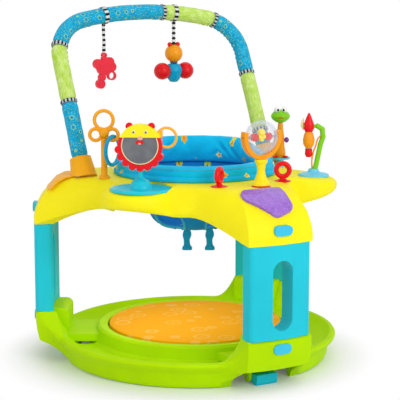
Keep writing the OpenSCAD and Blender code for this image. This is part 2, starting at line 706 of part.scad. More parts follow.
// roll: an oval ring of stuffing, higher behind
roll_inset = 6;
roll_w = 38;
roll_out_r = hole_r - roll_inset;
roll_in_r = roll_out_r - roll_w;
roll_steps = 48;
roll_sides = 16;
roll_fill = 1.1;
back_from = 78;
back_over = 42;
function off_back(a) = abs((a + quarter + 2 * half_turn) % (2 * half_turn) - half_turn);
function back_rise(a) = 1 - ease((off_back(a) - back_from + back_over) / back_over);
roll_section = function (a) let (
    top = deck_z + mix(roll_h, back_h, back_rise(a)),
    low = hem_z + gap,
    mid = (top + low) / 2,
    half = (top - low) / 2
  ) [for (k = [0:roll_sides - 1]) let (b = -k * 2 * half_turn / roll_sides, up = sin(b))
    [(roll_out_r + roll_in_r) / 2 + roll_w / 2 * cos(b), max(low, mid + half * up * (up < 0 ? roll_fill : 1))]];
module seat_roll() {
  color("deepskyblue")
  ring_loft([for (k = [0:roll_steps - 1]) k * 2 * half_turn / roll_steps], roll_section);
}

// strap tabs under the bucket
tab_w = 16;
tab_t = 4;
tab_len = 46;
tab_spots = [[-19, -60], [33, -60]];
tab_sink_share = 0.62;
tab_end_share = 1.5;
tab_clip_share = 1.3;
tab_top_z = deck_z - bucket_depth + cloth_t * tab_sink_share;
module seat_tabs() {
  color("steelblue")
  for (p = tab_spots) translate([p[0], p[1], tab_top_z - tab_len]) {
    translate([-tab_w / 2, -tab_t / 2, 0]) cube([tab_w, tab_t, tab_len]);
    translate([-tab_w * tab_end_share / 2, -tab_t, 0]) cube([tab_w * tab_end_share, 2 * tab_t, 2 * tab_t]);
    translate([-tab_w * tab_clip_share / 2, -tab_t, tab_len / 2]) cube([tab_w * tab_clip_share, 2 * tab_t, tab_w]);
  }
}

module peg() translate([0, 0, -peg_len]) cylinder(r = peg_r, h = peg_len + edge, $fn = small_fn);

// link loops
loop_t = 5.5;
loop_turn = 55;
loop_neck = 9;
loop_foot_share = 1.5;
module link_loop(t, turn) {
  color("red")
  at_toy(t) {
    peg();
    turned([
      [0, gap], [t[3], gap], [t[3], edge / 2], [loop_t * loop_foot_share, edge], [loop_t, loop_neck], [0, loop_neck]
    ]);
    translate([0, 0, loop_neck + loop_r - loop_t / 2]) rotate([0, 0, turn]) along_x() torus(loop_r - loop_t, loop_t);
  }
}

// mirror toy
mirror_face = 23;
mirror_t = 22;
dish_h = 6;
dome_r = 25;
stem_r = 5.5;
mirror_z = 98;
split_share = 0.37;
split_z = mirror_r * split_share;
// dome under the mirror: share of its radius, share of the dish height
dome_shares = [[1, 1], [0.95, 2], [0.7, 3.6], [0.35, 4.4]];
stem_share = 4.8;
stem_in_share = 0.6;
cap_share = 0.98;
feeler_a = 30;
handle_out_share = 0.43;
handle_root_shares = [0.8, 3.4, 4.6];
tongue_shares = [0.36, 0.15];
tongue_z_share = 0.45;
frill_r = 8;
frill_step = 20;
frill_half = 4;
stem_top_z = mirror_z - mirror_r * stem_in_share;
glass_share = 0.82;
glass_t = 3;
handle_r = 21;
handle_t = 3;
module at_mirror() at_toy(mirror_at) rotate([0, 0, mirror_face]) children();
// plate in the toy's own upright plane, from depth y0 over t, facing outwards
module upright(x0, t) translate([x0, 0, mirror_z]) rotate([quarter, 0, quarter]) linear_extrude(height = t) children();
module mirror_base() {
  color("cyan")
  at_mirror() {
    peg();
    turned([
      [0, gap], [mirror_foot_r, gap], [mirror_foot_r, dish_h / 2], [mirror_foot_r - dish_h / 2, dish_h],
      for (s = dome_shares) [s[0] * dome_r, s[1] * dish_h],
      [stem_r, dish_h * stem_share], [stem_r, stem_top_z], [0, stem_top_z]
    ]);
  }
}
module below(z) intersection() {
  children();
  translate([-2 * mirror_r, z - 4 * mirror_r]) square(4 * mirror_r);
}
module above(z) intersection() {
  children();
  translate([-2 * mirror_r, z]) square(4 * mirror_r);
}
module mirror_body() {
  color("red")
  at_mirror() difference() {
    union() {
      upright(-mirror_t / 2, mirror_t) below(split_z) {
        circle(r = mirror_r, $fn = round_fn);
        for (k = [-frill_half:frill_half - 1]) rotate([0, 0, k * frill_step - quarter]) translate([mirror_r, 0])
          circle(r = frill_r, $fn = small_fn);
      }
      for (s = [-1, 1]) upright(-loop_t / 2, loop_t) rotate([0, 0, s * feeler_a + quarter]) translate([mirror_r, 0])
        circle(r = frill_r, $fn = small_fn);
    }
    upright(mirror_t / 2 - glass_t - gap, mirror_t) below(split_z + overrun)
      circle(r = glass_share * mirror_r + gap, $fn = round_fn);
    cylinder(r = stem_r + fit, h = stem_top_z + gap, $fn = small_fn);
    upright(-mirror_t, 2 * mirror_t) above(split_z) circle(r = mirror_r * cap_share + gap, $fn = round_fn);
  }
}
module mirror_head() {
  color("yellow")
  at_mirror() {
    upright(-mirror_t / 2, mirror_t) above(split_z + gap) circle(r = mirror_r * cap_share, $fn = round_fn);
    difference() {
      translate([0, mirror_r + handle_r * handle_out_share, mirror_z + split_z]) along_x() torus(handle_r, handle_t);
      upright(-mirror_t, 2 * mirror_t) circle(r = mirror_r + gap, $fn = round_fn);
    }
    translate([-handle_t, mirror_r * handle_root_shares[0], mirror_z + split_z + gap])
      cube([2 * handle_t, handle_t * handle_root_shares[1], handle_t * handle_root_shares[2]]);
  }
}
module mirror_glass() {
  color("slategray")
  at_mirror() upright(mirror_t / 2 - glass_t, glass_t) below(split_z - gap)
    circle(r = glass_share * mirror_r, $fn = round_fn);
}
module mirror_tongue() {
  color("crimson")
  at_mirror() translate([mirror_t / 2, 0, mirror_z + split_z * tongue_z_share])
    oval_x(mirror_r * tongue_shares[0], mirror_r * tongue_shares[1], glass_t);
}

// clear spinner
ball_z = 110;
ball_wall = 2.5;
fork_t = 9;
fork_depth = 16;
fork_clear = 3;
fork_tip_a = 16;
axle_r = 2.5;
post_h = 62;
boss_r = 6;
boss_h = 16;
fork_in_r = ball_r + fork_clear;
module at_spinner() at_toy(spinner_at) children();
module spinner_foot() {
  color("red")
  at_spinner() difference() {
    turned([
      [0, gap], [spinner_foot_r, gap], [spinner_foot_r, edge / 2], [spinner_foot_r - edge / 2, edge], [0, edge]
    ]);
    translate([0, 0, -overrun]) cylinder(r = peg_r + fit, h = 2 * edge, $fn = small_fn);
  }
}
post_shares = [[0.95, 0.1], [0.92, 0.16], [0.66, 0.3], [0.46, 0.46], [0.4, 0.62], [0.48, 0.8], [0.66, 0.92], [0.66, 1]];
module spinner_post() {
  color("yellow")
  at_spinner() difference() {
    union() {
      peg();
      cylinder(r = peg_r, h = 2 * edge, $fn = small_fn);
      turned(concat(
        [[0, edge + gap], [spinner_foot_r * post_shares[0][0], edge + gap]],
        [for (s = post_shares) [s[0] * spinner_foot_r, s[1] * post_h]], [[0, post_h]]
      ));
    }
    translate([0, 0, post_h - boss_h]) cylinder(r = boss_r + fit, h = 2 * boss_h, $fn = small_fn);
  }
}
module spinner_fork() {
  color("orange")
  at_spinner() difference() {
    union() {
      translate([0, 0, ball_z]) rotate([quarter, 0, quarter]) rotate([0, 0, half_turn - fork_tip_a])
        rotate_extrude(angle = half_turn + 2 * fork_tip_a, $fn = 2 * round_fn)
          translate([fork_in_r, -fork_depth / 2]) square([fork_t, fork_depth]);
      translate([0, 0, post_h - boss_h + gap]) cylinder(r = boss_r, h = boss_h + fork_t, $fn = small_fn);
      translate([0, 0, post_h + gap])
        cylinder(r = boss_r * 2, h = ball_z - fork_in_r - post_h - fork_t / 2, $fn = small_fn);
    }
    translate([0, -2 * fork_in_r, ball_z]) rotate([-quarter, 0, 0])
      cylinder(r = axle_r + fit, h = 4 * fork_in_r, $fn = small_fn);
  }
}
module spinner_axle() {
  reach = fork_in_r + fork_t - overrun;
  color("silver")
  at_spinner() translate([0, -reach, ball_z]) rotate([-quarter, 0, 0])
    cylinder(r = axle_r, h = 2 * reach, $fn = small_fn);
}
module spinner_ball() {
  color([0.9, 0.9, 1, 0.4])
  at_spinner() translate([0, 0, ball_z]) difference() {
    sphere(r = ball_r, $fn = round_fn);
    sphere(r = ball_r - ball_wall, $fn = round_fn);
    translate([0, -2 * ball_r, 0]) rotate([-quarter, 0, 0])
      cylinder(r = axle_r + fit, h = 4 * ball_r, $fn = small_fn);
  }
}
figure_r = 9;
figure_waist_share = 0.6;
wing_r = 9;
wing_t = 7.2;
module spinner_figure() {
  color("khaki")
  at_spinner() translate([0, 0, ball_z]) difference() {
    union() {
      translate([0, 0, figure_r]) sphere(r = figure_r, $fn = small_fn);
      translate([0, 0, -figure_r]) cylinder(r = figure_r * figure_waist_share, h = 2 * figure_r, $fn = small_fn);
      translate([0, -figure_r, 0]) rotate([-quarter, 0, 0])
        cylinder(r = 2 * axle_r, h = 2 * figure_r, $fn = small_fn);
    }
    translate([0, -2 * figure_r, 0]) rotate([-quarter, 0, 0])
      cylinder(r = axle_r + fit, h = 4 * figure_r, $fn = small_fn);
  }
}
module spinner_wings() {
  color("crimson")
  at_spinner() translate([0, 0, ball_z])
    for (s = [-1, 1]) difference() {
      translate([-wing_t / 2, s * (figure_r + wing_r), 0]) along_x()
        cylinder(r = wing_r - gap, h = wing_t, $fn = small_fn);
      translate([0, -4 * wing_r, 0]) rotate([-quarter, 0, 0])
        cylinder(r = axle_r + fit, h = 8 * wing_r, $fn = small_fn);
    }
}

// frog toy on a plate beside the rear arch post
plate_r = 24;
plate_t = 4;
frog_rise = 45;
frog_h = 84;
frog_shares = [[0.5, 0], [0.56, 0.1], [0.42, 0.35], [0.4, 0.6], [0.3, 0.8], [0.24, 1]];
frog_pin_r = 4;
module at_frog() at_toy(frog_at) rotate([0, 0, -frog_at[0] - quarter]) children();
module frog_plate() {
  color("skyblue")
  at_frog() {
    translate([0, 0, -lip_h / 2]) cylinder(r = frog_at[3], h = frog_rise + lip_h / 2, $fn = small_fn);
    translate([0, 0, frog_rise]) cylinder(r = plate_r, h = plate_t, $fn = round_fn);
    translate([0, 0, frog_rise]) cylinder(r = frog_pin_r, h = plate_t + frog_h / 4, $fn = small_fn);
  }
}
module frog_body() {
  color("orange")
  at_frog() translate([0, 0, frog_rise + plate_t + gap]) difference() {
    turned(concat([[0, 0]], [for (s = frog_shares) [s[0] * plate_r, s[1] * frog_h]], [[0, frog_h]]));
    translate([0, 0, -overrun]) cylinder(r = frog_pin_r + fit, h = frog_h / 4 + overrun, $fn = small_fn);
    translate([0, 0, frog_h / 2]) rotate([0, 0, quarter]) along_x()
      cylinder(r = frog_pin_r / 2 + fit, h = plate_r, $fn = small_fn);
  }
}
chin_share = 0.72;
frog_head_z = frog_rise + plate_t + frog_h + frog_head_r * chin_share;
head_shares = [[0, -0.72], [0.5, -0.68], [0.95, -0.35], [1.12, 0], [1, 0.3], [0.7, 0.62], [0.4, 0.75], [0, 0.8]];
eye_r = 7.5;
eye_shares = [0.45, 0.42, 0.78];
eye_spot = frog_head_r * eye_shares;
knob_share = 0.3;
knob_out_share = 0.43;
knob_shares = [[0, 0], [0.6, 0], [1, 0.6], [0.8, 1.2], [0, 1.6]];
module frog_head() {
  color("limegreen")
  at_frog() translate([0, 0, frog_head_z + 2 * gap]) difference() {
    turned([for (s = head_shares) s * frog_head_r]);
    for (s = [-1, 1]) translate([eye_spot[0], s * eye_spot[1], eye_spot[2]]) sphere(r = eye_r + gap, $fn = small_fn);
  }
}
module frog_eyes() {
  color("white")
  at_frog() translate([0, 0, frog_head_z + 2 * gap])
    for (s = [-1, 1]) translate([eye_spot[0], s * eye_spot[1], eye_spot[2]]) sphere(r = eye_r, $fn = small_fn);
}
module frog_knob() {
  knob_r = plate_r * knob_share;
  color("rebeccapurple")
  at_frog() translate([0, 0, frog_rise + plate_t + gap + frog_h / 2]) rotate([0, 0, quarter]) {
    translate([plate_r * knob_out_share, 0, 0]) along_x() turned([for (s = knob_shares) s * knob_r]);
    translate([gap, 0, 0]) along_x() cylinder(r = frog_pin_r / 2, h = plate_r / 2, $fn = small_fn);
  }
}

// hook toy on the right lobe
hook_r = 6;
hook_line = [[0, 0, 6], [6, 0, 28], [15, 0, 74], [21, 0, 92], [19, 0, 110], [8, 0, 117]];
hook_end = [-26, 0, 117];
hook_pin_r = 4;
knuckle_share = 1.04;
hook_rim_h = 6;
hook_root_share = 0.05;
hook_boss_shares = [[0.4, 1.7], [0.3, 3], [0, 3]];
toy_r = 16;
toy_x = -12;
module at_hook() at_toy(hook_at) children();
module rod(p, q, r) {
  d = q - p;
  translate(p) rotate([0, acos(d[2] / norm(d)), atan2(d[1], d[0])]) cylinder(r = r, h = norm(d), $fn = small_fn);
}
module hook_base() {
  color("lightskyblue")
  at_hook() difference() {
    union() {
      peg();
      turned([
        [0, gap], [hook_foot_r, gap], [hook_foot_r, hook_rim_h - edge / 2], [hook_foot_r - edge / 2, hook_rim_h],
        for (s = hook_boss_shares) [s[0] * hook_foot_r, s[1] * hook_rim_h]
      ]);
    }
    rod(hook_line[0] - (hook_line[1] - hook_line[0]) * hook_root_share, hook_line[1], hook_r + fit);
  }
}
module hook_stem() {
  color("yellowgreen")
  at_hook() {
    for (i = [0:len(hook_line) - 2]) rod(hook_line[i], hook_line[i + 1], hook_r);
    for (i = [1:len(hook_line) - 1]) translate(hook_line[i]) sphere(r = hook_r * knuckle_share, $fn = small_fn);
    rod(hook_line[len(hook_line) - 1], hook_end, hook_pin_r);
  }
}
// the hanging toy: share of its radius, share of the same radius above or below the pin
toy_shares = [[0, -3.25], [0.45, -3.2], [0.8, -2.6], [0.85, -1.9], [0.65, -1.1], [0.5, -0.82], [0, -0.82]];
module hook_toy() {
  color("orange")
  at_hook() translate([toy_x, 0, hook_end[2]]) turned([for (s = toy_shares) s * toy_r]);
}
flame_shares = [[0, -0.8], [0.55, -0.8], [0.78, -0.3], [0.74, 0.3], [0.45, 1.1], [0.15, 1.85], [0, 1.95]];
tip_shares = [[0, -4.5], [0.35, -4.5], [0.55, -4.1], [0.5, -3.27], [0, -3.27]];
module hook_tips() {
  color("red")
  at_hook() translate([toy_x, 0, hook_end[2]]) {
    difference() {
      turned([for (s = flame_shares) s * toy_r]);
      translate([-2 * toy_r, 0, 0]) along_x() cylinder(r = hook_pin_r + fit, h = 4 * toy_r, $fn = small_fn);
    }
    turned([for (s = tip_shares) s * toy_r]);
  }
}

// looped flower with a hanging ring
flower_z = 104;
flower_stem_r = 7;
flower_pin_r = 4;
flower_turn = 65;
petal_r = 13;
petal_t = 4;
petal_x = 19;
top_loop_r = 21;
hang_t = 4.5;
hang_turn = 25;
module at_flower() at_toy(flower_at) rotate([0, 0, flower_turn]) children();
module flower_stem() {
  color("darkorange")
  at_flower() {
    peg();
    turned([
      [0, gap], [flower_foot_r, gap], [flower_foot_r, edge], [flower_stem_r, 2 * edge],
      [flower_stem_r, flower_z - 3 * petal_t], [0, flower_z - 3 * petal_t]
    ]);
    cylinder(r = flower_pin_r, h = flower_z + petal_t, $fn = small_fn);
  }
}
module flower_loops() {
  color("orange")
  at_flower() difference() {
    translate([0, 0, flower_z]) {
      sphere(r = 3 * petal_t - gap, $fn = small_fn);
      translate([0, 0, top_loop_r + 2 * petal_t]) along_x() torus(top_loop_r, petal_t);
      for (s = [-1, 1]) translate([0, s * petal_x, -petal_t]) along_x() torus(petal_r, petal_t);
    }
    translate([0, 0, flower_z - 4 * petal_t]) cylinder(r = flower_pin_r + fit, h = 5 * petal_t + gap, $fn = small_fn);
    cylinder(r = flower_stem_r + gap, h = flower_z - 3 * petal_t + gap, $fn = small_fn);
  }
}
hang_z = flower_z - petal_t - petal_r;
module hang_ring() {
  color("dodgerblue")
  at_flower() translate([0, petal_x, hang_z + petal_t + hang_t + gap - hang_r]) rotate([0, 0, quarter - hang_turn])
    along_x() torus(hang_r, hang_t);
}

// toys hanging from the arch: place along the crown, as shares of its radius
teether_share = -0.142;
bug_share = 0.099;
strap_w = 10;
strap_t = 1.6;
strap_len = 69;
chain_len = 60;
// world point on the arch's middle line for a share of the crown radius
function crown_point(s) = let (
    x = crown_r * s,
    h = arch_h - crown_r + sqrt(crown_r * crown_r - x * x),
    d = arch_chord + h * sin(arch_lean)
  ) [
    d * cos(arch_dir) + x * sin(arch_dir), d * sin(arch_dir) - x * cos(arch_dir), arch_foot_z + h * cos(arch_lean)
  ];
module at_crown(s) translate(crown_point(s)) rotate([0, 0, arch_dir - quarter]) children();
strap_r = sleeve_r + 2 * gap;
// ribbon round the sleeve at a share of the crown
module ribbon(s) {
  rotate([-arch_lean, 0, 0]) rotate([0, asin(s), 0]) along_x() translate([0, 0, -strap_w / 2]) difference() {
    cylinder(r = strap_r + strap_t, h = strap_w, $fn = round_fn);
    translate([0, 0, -overrun]) cylinder(r = strap_r, h = strap_w + 2 * overrun, $fn = round_fn);
  }
}
module teether_strap() {
  color("black")
  at_crown(teether_share) {
    ribbon(teether_share);
    translate([-strap_w / 2, -strap_t / 2, -strap_r - strap_len]) cube([strap_w, strap_t, strap_len - strap_t / 2]);
  }
}
teether_t = 11;
teether_r = 19;
lobe_r = 12;
lobe_share = 1;
tail_shares = [2.1, 0.95];
tail_a = -105;
// necks of the tail and the eyelet: share of the body's radius, share of their own disc's radius
tail_neck_shares = [1.25, 0.75];
eyelet_neck_shares = [1.1, 1.17];
side_ring_shares = [1.45, 1.83];
side_hole_share = 1.33;
eyelet_hole_share = 0.5;
teether_angles = [5, 45, 150];
eyelet_r = 6;
eyelet_share = 1.6;
teether_z = strap_r + strap_len + teether_r * eyelet_share + eyelet_r + gap;
module disc_at(a, out, r) rotate([0, 0, a]) translate([out, 0]) circle(r = r, $fn = small_fn);
module teether() {
  color("red")
  at_crown(teether_share) translate([0, teether_t / 2, -teether_z]) rotate([quarter, 0, 0])
    linear_extrude(height = teether_t) difference() {
      union() {
        circle(r = teether_r, $fn = small_fn);
        for (a = teether_angles) disc_at(a, teether_r * lobe_share, lobe_r);
        disc_at(tail_a, teether_r * tail_shares[0], lobe_r * tail_shares[1]);
        disc_at(tail_a, teether_r * tail_neck_shares[0], lobe_r * tail_neck_shares[1]);
        disc_at(quarter, teether_r * eyelet_share, eyelet_r);
        disc_at(quarter, teether_r * eyelet_neck_shares[0], eyelet_r * eyelet_neck_shares[1]);
        disc_at(-quarter / 2, teether_r * side_ring_shares[0], eyelet_r * side_ring_shares[1]);
      }
      disc_at(quarter, teether_r * eyelet_share, eyelet_r * eyelet_hole_share);
      disc_at(-quarter / 2, teether_r * side_ring_shares[0], eyelet_r * side_hole_share);
    }
}
bead_r = 6;
bead_count = 4;
bead_step_share = 1.8;
module bug_chain() {
  color("black")
  at_crown(bug_share) {
    ribbon(bug_share);
    translate([0, 0, -strap_r - chain_len]) cylinder(r = strap_t, h = chain_len, $fn = small_fn);
    for (k = [1:bead_count]) translate([0, 0, -strap_r - k * bead_r * bead_step_share])
      sphere(r = bead_r, $fn = small_fn);
  }
}
bug_body_share = 0.95;
bug_seat_share = 0.9;
wing_out_share = 1.55;
wing_share = 1;
feeler_share = 0.5;
bug_eye_share = 0.4;
bug_body_r = bug_head_r * bug_body_share;
bug_head_z = strap_r + chain_len + bug_head_r * bug_seat_share;
bug_body_z = bug_head_z + bug_head_r + bug_body_r + gap;
bug_body_shares = [[0, -1.35], [0.45, -1.28], [0.75, -0.9], [1, 0], [0.95, 0.4], [0.7, 0.8], [0, 1]];
bug_feeler_r = 6;
module bug_head() {
  color("orange")
  at_crown(bug_share) translate([0, 0, -bug_head_z]) difference() {
    sphere(r = bug_head_r, $fn = round_fn);
    translate([0, 0, bug_head_r * bug_eye_share]) cylinder(r = strap_t + fit, h = bug_head_r, $fn = small_fn);
    for (s = [-1, 1]) translate([s * bug_head_r * feeler_share, 0, bug_head_r])
      sphere(r = bug_feeler_r + gap, $fn = small_fn);
  }
}
module bug_body() {
  color("deepskyblue")
  at_crown(bug_share) translate([0, 0, -bug_body_z]) difference() {
    turned([for (s = bug_body_shares) s * bug_body_r]);
    for (s = [-1, 1]) translate([s * bug_body_r * wing_out_share, 0, 0])
      sphere(r = bug_body_r * wing_share + gap, $fn = small_fn);
  }
}
module bug_wings() {
  color("red")
  at_crown(bug_share) {
    for (s = [-1, 1]) translate([s * bug_body_r * wing_out_share, 0, -bug_body_z])
      sphere(r = bug_body_r * wing_share, $fn = small_fn);
    for (s = [-1, 1]) translate([s * bug_head_r * feeler_share, 0, bug_head_r - bug_head_z])
      sphere(r = bug_feeler_r, $fn = small_fn);
  }
}

framed() base_saucer();
framed() bounce_pad();
framed(leg_angles[0]) column();  // column_left
framed(leg_angles[1]) column();  // column_front
framed(leg_angles[2]) column();  // column_rear
framed(leg_angles[0]) button(low_button_z);  // base_button_left
framed(leg_angles[1]) button(low_button_z);  // base_button_front
framed(leg_angles[2]) button(low_button_z);  // base_button_rear
framed(leg_angles[0]) button(high_button_z);  // tray_button_left
framed(leg_angles[1]) button(high_button_z);  // tray_button_front
framed(leg_angles[2]) button(high_button_z);  // tray_button_rear
framed(leg_angles[0]) fold_foot();  // foot_left
framed(leg_angles[1]) fold_foot();  // foot_front
framed(leg_angles[2]) fold_foot();  // foot_rear
framed() foot_pins();
framed() tray();
framed() light_lens();
framed() arch_saddle(-1);  // arch_saddle_left
framed() arch_saddle(1);  // arch_saddle_rear
framed() arch_tube();
framed() arch_sleeve_blue();
framed() arch_sleeve_green();
framed() arch_cuffs();
framed() seat_ring();
framed() seat_retainer();
framed() seat_bucket();
framed() seat_roll();
framed() seat_tabs();
framed() link_loop(loop_left_at, loop_turn);  // loop_left
framed() link_loop(loop_right_at, -loop_turn);  // loop_right
framed() mirror_base();
framed() mirror_body();
framed() mirror_head();
framed() mirror_glass();
framed() mirror_tongue();
framed() spinner_foot();
framed() spinner_post();
framed() spinner_fork();
framed() spinner_axle();
framed() spinner_ball();
framed() spinner_figure();
framed() spinner_wings();
framed() frog_plate();
framed() frog_body();
framed() frog_head();
framed() frog_eyes();
framed() frog_knob();
framed() hook_base();
framed() hook_stem();
framed() hook_toy();
framed() hook_tips();
framed() flower_stem();
framed() flower_loops();
framed() hang_ring();
framed() teether_strap();
framed() teether();
framed() bug_chain();
framed() bug_head();
framed() bug_body();
framed() bug_wings();
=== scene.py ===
import bpy
import bmesh
import json
from math import asin, atan2, cos, exp, pi, radians, sin, sqrt, hypot
from mathutils import Matrix, Vector, noise


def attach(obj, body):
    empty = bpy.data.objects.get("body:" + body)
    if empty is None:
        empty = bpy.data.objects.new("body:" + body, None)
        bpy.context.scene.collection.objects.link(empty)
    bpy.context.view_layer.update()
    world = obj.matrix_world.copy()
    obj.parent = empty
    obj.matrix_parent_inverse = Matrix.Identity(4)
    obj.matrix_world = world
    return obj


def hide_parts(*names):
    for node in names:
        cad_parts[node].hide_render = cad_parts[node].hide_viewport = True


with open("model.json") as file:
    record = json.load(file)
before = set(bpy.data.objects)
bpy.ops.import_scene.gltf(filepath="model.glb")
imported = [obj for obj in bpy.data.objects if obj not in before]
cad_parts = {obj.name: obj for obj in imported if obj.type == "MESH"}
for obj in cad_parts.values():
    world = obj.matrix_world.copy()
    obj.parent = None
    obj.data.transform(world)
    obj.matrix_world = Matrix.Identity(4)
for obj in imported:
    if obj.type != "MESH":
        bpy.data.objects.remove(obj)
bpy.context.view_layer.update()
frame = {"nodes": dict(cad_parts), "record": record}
nodes = frame["nodes"]
scene = bpy.context.scene
scene.view_settings.view_transform = "Standard"

# Sizes shared with the part, in metres
FX = 0.02375
DECK = 0.431
ARCH_HALF, ARCH_H, ARCH_LEAN = 0.249, 0.369, radians(25)
CORNER_R, CROWN_R = 0.100, 0.800
ARCH_CHORD, ARCH_FOOT_Z = ARCH_HALF * 0.37, DECK + 0.029
HOLE_R = 0.182
POD_SEAT_Z = 0.42045
MIRROR_AT, MIRROR_Z = (-118, 0.250), 0.098
BOTH = (-1, 1)
# A full turn as the cloth patterns count it
TURN = 6.28


def polar(a, r, z):
    return Vector((FX + r * cos(radians(a)), r * sin(radians(a)), z))


# Camera
cam = bpy.data.cameras.new("camera")
cam.lens = 123.84
cam.sensor_width = 36
cam_obj = bpy.data.objects.new("camera", cam)
cam_obj.location = (0.0159 + FX, -3.1721, 0.8692)
cam_obj.rotation_euler = (radians(90 - 9.047), 0, radians(0.09))
scene.collection.objects.link(cam_obj)
scene.camera = cam_obj


# Colours are written as screen values and turned into linear ones
def rgb(r, g, b):
    def lin(c):
        c /= 255
        return c / 12.92 if c <= 0.04045 else ((c + 0.055) / 1.055) ** 2.4
    return (lin(r), lin(g), lin(b), 1)


def shade(c, k):
    return tuple(min(1, v * k) for v in c[:3]) + (1,)


class Nodes:
    """A material being built: short ways to add and join its nodes."""

    def __init__(self, name):
        self.mat = bpy.data.materials.new(name)
        self.mat.use_nodes = True
        self.tree = self.mat.node_tree
        self.bsdf = self.tree.nodes["Principled BSDF"]
        self.coord = self.tree.nodes.new("ShaderNodeTexCoord")

    def add(self, kind, **values):
        n = self.tree.nodes.new(kind)
        for k, v in values.items():
            if k in n.inputs:
                n.inputs[k].default_value = v
            else:
                setattr(n, k, v)
        return n

    def join(self, a, b):
        self.tree.links.new(a, b)

    def noise(self, scale, detail=3, source="Object", stretch=None):
        n = self.add("ShaderNodeTexNoise", Scale=scale, Detail=detail)
        self.join(self.place(source, stretch), n.inputs["Vector"])
        return n.outputs["Fac"]

    def place(self, source, stretch=None):
        out = self.coord.outputs[source]
        if stretch is None:
            return out
        m = self.add("ShaderNodeMapping")
        m.inputs["Scale"].default_value = stretch
        self.join(out, m.inputs["Vector"])
        return m.outputs["Vector"]

    def ramp(self, fac, stops, mode="LINEAR"):
        n = self.add("ShaderNodeValToRGB")
        n.color_ramp.interpolation = mode
        while len(n.color_ramp.elements) < len(stops):
            n.color_ramp.elements.new(0.5)
        for e, (p, c) in zip(n.color_ramp.elements, stops):
            e.position = p
            e.color = c
        self.join(fac, n.inputs["Fac"])
        return n.outputs["Color"]

    def mix(self, fac, a, b, blend="MIX"):
        n = self.add("ShaderNodeMix", data_type="RGBA", blend_type=blend)
        for sock, v in ((n.inputs["Factor"], fac), (n.inputs[6], a), (n.inputs[7], b)):
            if hasattr(v, "is_linked"):
                self.join(v, sock)
            else:
                sock.default_value = v
        return n.outputs[2]

    def math(self, op, a, b=0.0):
        n = self.add("ShaderNodeMath", operation=op)
        for sock, v in zip(n.inputs, (a, b)):
            if hasattr(v, "is_linked"):
                self.join(v, sock)
            else:
                sock.default_value = v
        return n.outputs[0]

    def bump(self, height, strength, distance):
        n = self.add("ShaderNodeBump", Strength=strength, Distance=distance)
        self.join(height, n.inputs["Height"])
        self.join(n.outputs["Normal"], self.bsdf.inputs["Normal"])

    def colour(self, out):
        self.join(out, self.bsdf.inputs["Base Color"])

    def rough(self, fac, low, high):
        n = self.add("ShaderNodeMapRange")
        n.inputs["To Min"].default_value = low
        n.inputs["To Max"].default_value = high
        self.join(fac, n.inputs["Value"])
        self.join(n.outputs["Result"], self.bsdf.inputs["Roughness"])

    def put(self, **values):
        for k, v in values.items():
            self.bsdf.inputs[k.replace("_", " ")].default_value = v
        return self.mat


def plastic(name, c, rough=0.44, coat=0.04, grain=0.12, gloss=0.2):
    """Moulded plastic: faint flow marks, fine spark texture and a soft clear gloss."""
    m = Nodes(name)
    flow = m.noise(9, 4)
    m.colour(m.ramp(flow, [(0.3, shade(c, 0.94)), (0.55, c), (0.75, shade(c, 1.05))]))
    m.rough(m.noise(45, 3), rough - 0.06, rough + 0.09)
    m.bump(m.noise(1400, 2), grain, 0.0004)
    return m.put(Coat_Weight=coat, Coat_Roughness=0.2, Specular_IOR_Level=gloss)


def cloth_base(m, weave=1500):
    """Woven threads as a bump, in the piece's own width and length."""
    warp = m.add("ShaderNodeTexWave", Scale=weave / TURN, Distortion=0.4)
    warp.bands_direction = "X"
    weft = m.add("ShaderNodeTexWave", Scale=weave / TURN, Distortion=0.4)
    weft.bands_direction = "Y"
    for w in (warp, weft):
        m.join(m.coord.outputs["UV"], w.inputs["Vector"])
    both = m.math("ADD", warp.outputs["Fac"], weft.outputs["Fac"])
    m.bump(m.math("ADD", both, m.math("MULTIPLY", m.noise(120, 4), 2.0)), 0.25, 0.0006)
    m.rough(m.noise(60), 0.72, 0.92)
    m.put(Sheen_Weight=0.08, Sheen_Roughness=0.5, Specular_IOR_Level=0.15)


